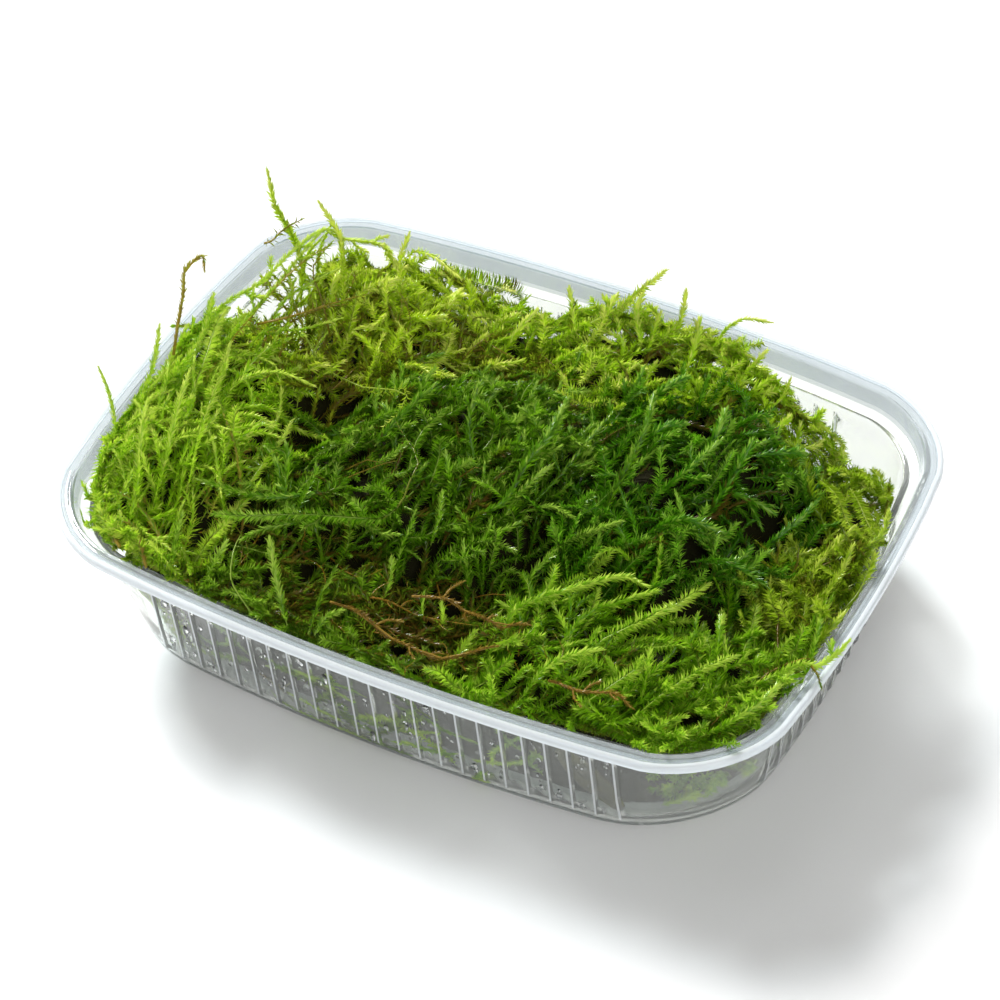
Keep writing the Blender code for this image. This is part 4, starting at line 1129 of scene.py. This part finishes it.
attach(front_tuft, "root")

# Brown thatch
# Dead matted moss at the near left, with green shoots coming through it, and two dead twigs
# that stand against the near wall.
thatch = Clump(17)
grow(thatch, "brown_thatch", MATTED, 20, 50, 0.50)
placed(thatch, (
    (((-25, -33.5, 0.6), (-24.5, -32, 2.4), (-24.5, -29, 3)), BRUSH, 0.84),
    (((-17, -36, 0.8), (-20, -34.5, 2.4), (-21.5, -33, 2.8), (-23, -29.5, 3.2), (-23.5, -27, 3)),
     BARE, 0.55, 0.8),
    (((-11.5, -36, 0.6), (-12.5, -35, 2.2), (-15.5, -31.5, 3.2), (-19, -27, 3.8)), PLUMP, 0.88, 0.95),
    (((-7.5, -36, 0.8), (-7, -34, 2.4), (-5.5, -32.5, 2.8)), BRUSH, 0.78, 0.9),
    (((-8.5, -36, 0.5), (-9.5, -31, 2.2), (-9.5, -27, 2.8)), COMB, 0.64),
    (((-30.5, -33, 0.5), (-31.5, -30, 2.2), (-32, -27.5, 2.8)), BRUSH, 0.80),
    (((-2, -30, 0.5), (2, -29, 1.5), (7, -28, 2)), BRUSH, 0.02, 1.0, 3),
    (((4, -27, 0.5), (9, -25.5, 1.5), (14, -25, 1.8)), SLIM, 0.0, 1.0, 3),
    (((0, -26, 0.5), (5, -24.5, 1.6), (10, -25, 2)), COMB, 0.06, 1.0, 2),
    (((8, -31, 0.5), (12, -29.5, 1.5), (17, -28, 1.6)), BRUSH, 0.04, 1.0, 2),
    (((12, -32, 0.5), (9, -30, 1.4), (5, -30.5, 1.8)), HAIR, 0.14, 1.6, 3),
    (((-6, -28, 0.5), (-2, -27, 1.5), (2, -26, 2)), HAIR, 0.10, 1.6, 3),
))
placed(thatch, (
    (((-18.7, -34, 5.2), (-16, -34, 3.6), (-13.7, -34, 2.3)), SCALY, 0.10, 0.9),
    (((-16.6, -34, 4), (-15, -34, 4.6), (-14, -34, 5.8)), SCALY, 0.14, 0.6),
), at_wall=True)
dead_mat(thatch, (3, -27), (5.5, 2.6), 100, (0.0, 0.12))
thatch_leaf = moss_material(
    "brown_moss", DEAD_BROWN, (0.055, 0.095, 0.004), (0.14, 0.31, 0.006), (0.58, 0.80, 0.10),
    (0.40, 0.54, 0.08), (0.42, 0.20, 0.02), (0.36, 0.66, 0.03),
)
thatch_tuft = tuft_object("brown_thatch_leaves", thatch, thatch_leaf)
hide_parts("brown_thatch")
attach(thatch_tuft, "root")

# Loose dead stems
# Three dry golden-brown stems from older shoots, with the thin frayed leaves that are left on
# them. They lie loose on the front of the heap.
DEAD_STEMS = {
    "dead_stem_left": ((-7, -32.5), (-1, -33), (4, -33.5), (10, -32.5), (16, -30.5)),
    "dead_stem_middle": ((3, -29), (8, -27.5), (13, -28), (18, -26)),
    "dead_stem_right": ((24, -32.5), (28, -32.5), (32, -31), (35, -31.5)),
}
DEAD_RADIUS = 0.55 * MM
FRAYED = Style(0.80, 0.14, 0.065, 32, False, 0.17, 0.02)
dry_bark = moss_material(
    "dry_stem_bark", (0.09, 0.048, 0.008), (0.20, 0.115, 0.014), (0.33, 0.21, 0.024), (0.56, 0.42, 0.09),
    (0.40, 0.25, 0.04), (0.26, 0.14, 0.02), (0.46, 0.31, 0.03), 0.2,
)
for number, (node, seen) in enumerate(DEAD_STEMS.items()):
    cad_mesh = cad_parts[node].data
    stem_points = [v.co for v in cad_mesh.vertices]
    solid = BVHTree.FromPolygons(stem_points, [f.vertices for f in cad_mesh.polygons])
    axis = []
    for x, y, _ in flowing([(x * MM, y * MM, 0) for x, y in seen], 15):
        spot = solid.ray_cast(Vector((x, y, ABOVE_HEAP)), DOWN)[0]
        if spot is not None:
            axis.append((x, y, spot.z - DEAD_RADIUS))
    frayed = Clump(31 + number)
    path = add_shoot(frayed, axis, FRAYED, 0.46, bare=0.0, size=1.05)
    add_branches(frayed, path, FRAYED, 0.6, 3, 4)
    stem_object = tuft_object(node + "_frayed", frayed, dry_bark)
    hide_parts(node)
    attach(stem_object, "root")

# Olive leaf scrap
# A torn piece of a broad water leaf with a midrib and side veins, caught upright between the
# moss and the near wall.
SCRAP_CENTRE = (SCRAP_AT_WALL[0], 8.8)
SCRAP_HALF = (6.5, 2.5)
SCRAP_TURN = math.radians(-52)
SCRAP_CLEARANCE = 0.38
SCRAP_HALF_THICKNESS = 0.12
SCRAP_CUP = 0.16
RIB_SWELL, RIB_WIDTH = 0.14, 0.22
VEIN_SWELL = 0.05
SIDE_VEINS = 7
LEAF_ROWS, LEAF_COLUMNS = 25, 13
scrap_points = {}
scrap_bm = bmesh.new()
for face, way in ((0, 1), (1, -1)):
    for row in range(LEAF_ROWS):
        along = row / (LEAF_ROWS - 1) * 2 - 1
        frayed_edge = 1 + 0.10 * noise.noise(Vector((along * 4, 0, 0)))
        frayed_edge += 0.06 * noise.noise(Vector((along * 13, 1, 0)))
        half = SCRAP_HALF[1] * max(1 - along ** 2, 0) ** 0.6 * min(frayed_edge, 1)
        for column in range(LEAF_COLUMNS):
            across = column / (LEAF_COLUMNS - 1) * 2 - 1
            on_edge = column in (0, LEAF_COLUMNS - 1) or row in (0, LEAF_ROWS - 1)
            if face and on_edge:
                scrap_points[face, row, column] = scrap_points[0, row, column]
                continue
            s, t = SCRAP_HALF[0] * along, half * across
            x = SCRAP_CENTRE[0] + s * math.cos(SCRAP_TURN) - t * math.sin(SCRAP_TURN)
            z = SCRAP_CENTRE[1] + s * math.sin(SCRAP_TURN) + t * math.cos(SCRAP_TURN)
            inset = wall_inset(z) + WALL + SCRAP_CLEARANCE
            half_x, half_y = HALF_LENGTH / MM - inset, HALF_WIDTH / MM - inset
            vein = abs(((along * SIDE_VEINS - abs(across) * 1.4) % 1) - 0.5) * 2
            swell = RIB_SWELL * math.exp(-(t / RIB_WIDTH) ** 2) + VEIN_SWELL * vein
            thick = 0 if on_edge else SCRAP_HALF_THICKNESS + swell
            y = bowed_wall(x, half_y, half_x, SIDE_BOW / MM) - SCRAP_CUP * across ** 2
            scrap_points[face, row, column] = scrap_bm.verts.new((x * MM, -(y + way * thick) * MM, z * MM))
for face in (0, 1):
    for row in range(LEAF_ROWS - 1):
        for column in range(LEAF_COLUMNS - 1):
            square = [(row, column), (row + 1, column), (row + 1, column + 1), (row, column + 1)]
            ring = [scrap_points[face, i, j] for i, j in (square if face else reversed(square))]
            scrap_bm.faces.new(ring)
bmesh.ops.remove_doubles(scrap_bm, verts=scrap_bm.verts, dist=0.01 * MM)
scrap = built("olive_leaf_blade", scrap_bm)
blade, tree, output = new_material("olive_leaf_skin")
place = new_node(tree, "TexCoord").outputs["Object"]
mottle = spread_to(tree, noise_at(tree, place, 420, 4.0, 0.6), 0.35, 0.65, 0, 1)
skin = new_node(
    tree, "BsdfPrincipled", Coat_Weight=0.1, Coat_Roughness=0.15, Roughness=0.5,
    Base_Color=blend_colours(tree, mottle, (0.022, 0.019, 0.002, 1), (0.10, 0.092, 0.009, 1)),
    Normal=bumped(tree, noise_at(tree, place, 2400), 0.3, 0.2 * MM),
)
surface(tree, output, skin)
scrap.data.materials.append(blade)
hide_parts("olive_leaf_scrap")
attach(scrap, "root")

# Water drops
# Small drops that hang on both sides of the tub's wall, flattened against it and drawn out
# downward, mostly on the near side and between the ribs.
DROPS = 240
DROP_SIDES = 8
DROP_RINGS = ((1.0, 0.0), (0.92, 0.45), (0.62, 0.85))
DROP_POINTS = DROP_SIDES * len(DROP_RINGS) + 2
NEAR_SHARE = 0.72
OFF_WALL = 0.03
drop_draw = np.random.default_rng(23)
drop_points, drop_faces = [], []
while len(drop_points) < DROPS * DROP_POINTS:
    near_side = drop_draw.uniform() < NEAR_SHARE
    z = drop_draw.uniform(3, 16)
    outside = drop_draw.uniform() < 0.5
    inset = wall_inset(z) + WALL * (not outside)
    half_x, half_y = HALF_LENGTH / MM - inset, HALF_WIDTH / MM - inset
    between_ribs = drop_draw.uniform(0.3, 0.7)
    if near_side:
        x = (drop_draw.integers(-SIDE_RIBS, SIDE_RIBS) + between_ribs) * RIB_PITCH
        y = -bowed_wall(x, half_y, half_x, SIDE_BOW / MM)
        inward, side = (0, 1, 0), (1, 0, 0)
    else:
        y = (drop_draw.integers(-END_RIBS, END_RIBS) + between_ribs) * RIB_PITCH
        hand = drop_draw.choice((-1, 1))
        x = hand * bowed_wall(y, half_x, half_y, END_BOW / MM)
        inward, side = (-hand, 0, 0), (0, 1, 0)
    off = np.array(inward) * (-1 if outside else 1)
    foot, side = np.array((x, y, z)) + off * OFF_WALL, np.array(side)
    wide = drop_draw.choice((0.18, 0.27, 0.42), p=(0.5, 0.35, 0.15)) * drop_draw.uniform(0.8, 1.2)
    tall, deep = wide * drop_draw.uniform(1.0, 2.6), wide * 0.75
    first = len(drop_points)
    for share, depth in DROP_RINGS:
        for turn in np.arange(DROP_SIDES) / DROP_SIDES * 2 * math.pi:
            round_it = side * math.cos(turn) * wide + UP * math.sin(turn) * tall
            drop_points.append(foot + round_it * share + off * deep * depth)
    drop_points += [foot, foot + off * deep]
    base, crown = len(drop_points) - 2, len(drop_points) - 1
    for here in range(DROP_SIDES):
        after = (here + 1) % DROP_SIDES
        drop_faces.append((base, first + here, first + after))
        for low in range(first, base - DROP_SIDES, DROP_SIDES):
            drop_faces.append((low + here, low + DROP_SIDES + here, low + DROP_SIDES + after, low + after))
        top_ring = base - DROP_SIDES
        drop_faces.append((crown, top_ring + after, top_ring + here))
drop_bm = bmesh.new()
drop_verts = [drop_bm.verts.new(point * MM) for point in drop_points]
for face in drop_faces:
    drop_bm.faces.new([drop_verts[corner] for corner in face])
drops = built("wall_drops", drop_bm)
water, tree, output = new_material("water")
surface(tree, output, new_node(
    tree, "BsdfPrincipled", Base_Color=(0.96, 0.98, 0.98, 1), Roughness=0.02, IOR=1.33,
    Transmission_Weight=1.0,
))
drops.data.materials.append(water)
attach(drops, "root")

# Studio
# A pale table that runs out of sight, soft light from two large lamps and a pale room, and the
# camera where the photographer stood.
FLOOR_HALF = 3
floor_corners = [(x * FLOOR_HALF, y * FLOOR_HALF, 0) for x, y in ((-1, -1), (1, -1), (1, 1), (-1, 1))]
floor_mesh = bpy.data.meshes.new("floor")
floor_mesh.from_pydata(floor_corners, [], [(0, 1, 2, 3)])
floor = in_scene("floor", floor_mesh)
paper, tree, output = new_material("pale_table")
surface(tree, output, new_node(
    tree, "BsdfPrincipled", Base_Color=(0.92, 0.92, 0.92, 1), Roughness=0.6,
))
floor_mesh.materials.append(paper)
LIT_PLACE = Vector((0, 0, 0.01))


def soft_lamp(name, place, size, power):
    """A square lamp that faces the moss, in metres and watts."""
    data = bpy.data.lights.new(name, "AREA")
    data.shape = "SQUARE"
    data.size = size
    data.energy = power
    lamp = in_scene(name, data)
    lamp.location = place
    lamp.rotation_mode = "QUATERNION"
    lamp.rotation_quaternion = (LIT_PLACE - Vector(place)).to_track_quat("-Z", "Y")


soft_lamp("key_lamp", (-0.62, 0.34, 0.70), 0.24, 11.5)
soft_lamp("front_lamp", (0.7, -0.7, 0.7), 0.6, 4.5)
world = bpy.data.worlds.new("studio")
bpy.context.scene.world = world
world.use_nodes = True
sky = world.node_tree.nodes["Background"]
sky.inputs["Color"].default_value = (1.0, 0.99, 0.96, 1)
sky.inputs["Strength"].default_value = 0.33

EYE = Vector((0.164386, -0.292560, 0.349696))
CAMERA_RIGHT = Vector((0.88518, 0.46434, -0.02906))
CAMERA_UP = Vector((-0.30944, 0.63425, 0.70850))
CAMERA_BACK = Vector((0.34741, -0.61816, 0.70511))
FOCAL_PIXELS = 3559.12
FRAME_PIXELS = 1000
SENSOR_MM = 36.0
camera_data = bpy.data.cameras.new("camera")
camera_data.sensor_width = SENSOR_MM
camera_data.lens = FOCAL_PIXELS / FRAME_PIXELS * SENSOR_MM
camera_data.clip_start = 0.01
camera_data.clip_end = 20
camera = in_scene("camera", camera_data)
turned = Matrix((CAMERA_RIGHT, CAMERA_UP, CAMERA_BACK)).transposed().to_4x4()
camera.matrix_world = Matrix.Translation(EYE) @ turned
bpy.context.scene.camera = camera
bpy.context.scene.view_settings.view_transform = "Standard"
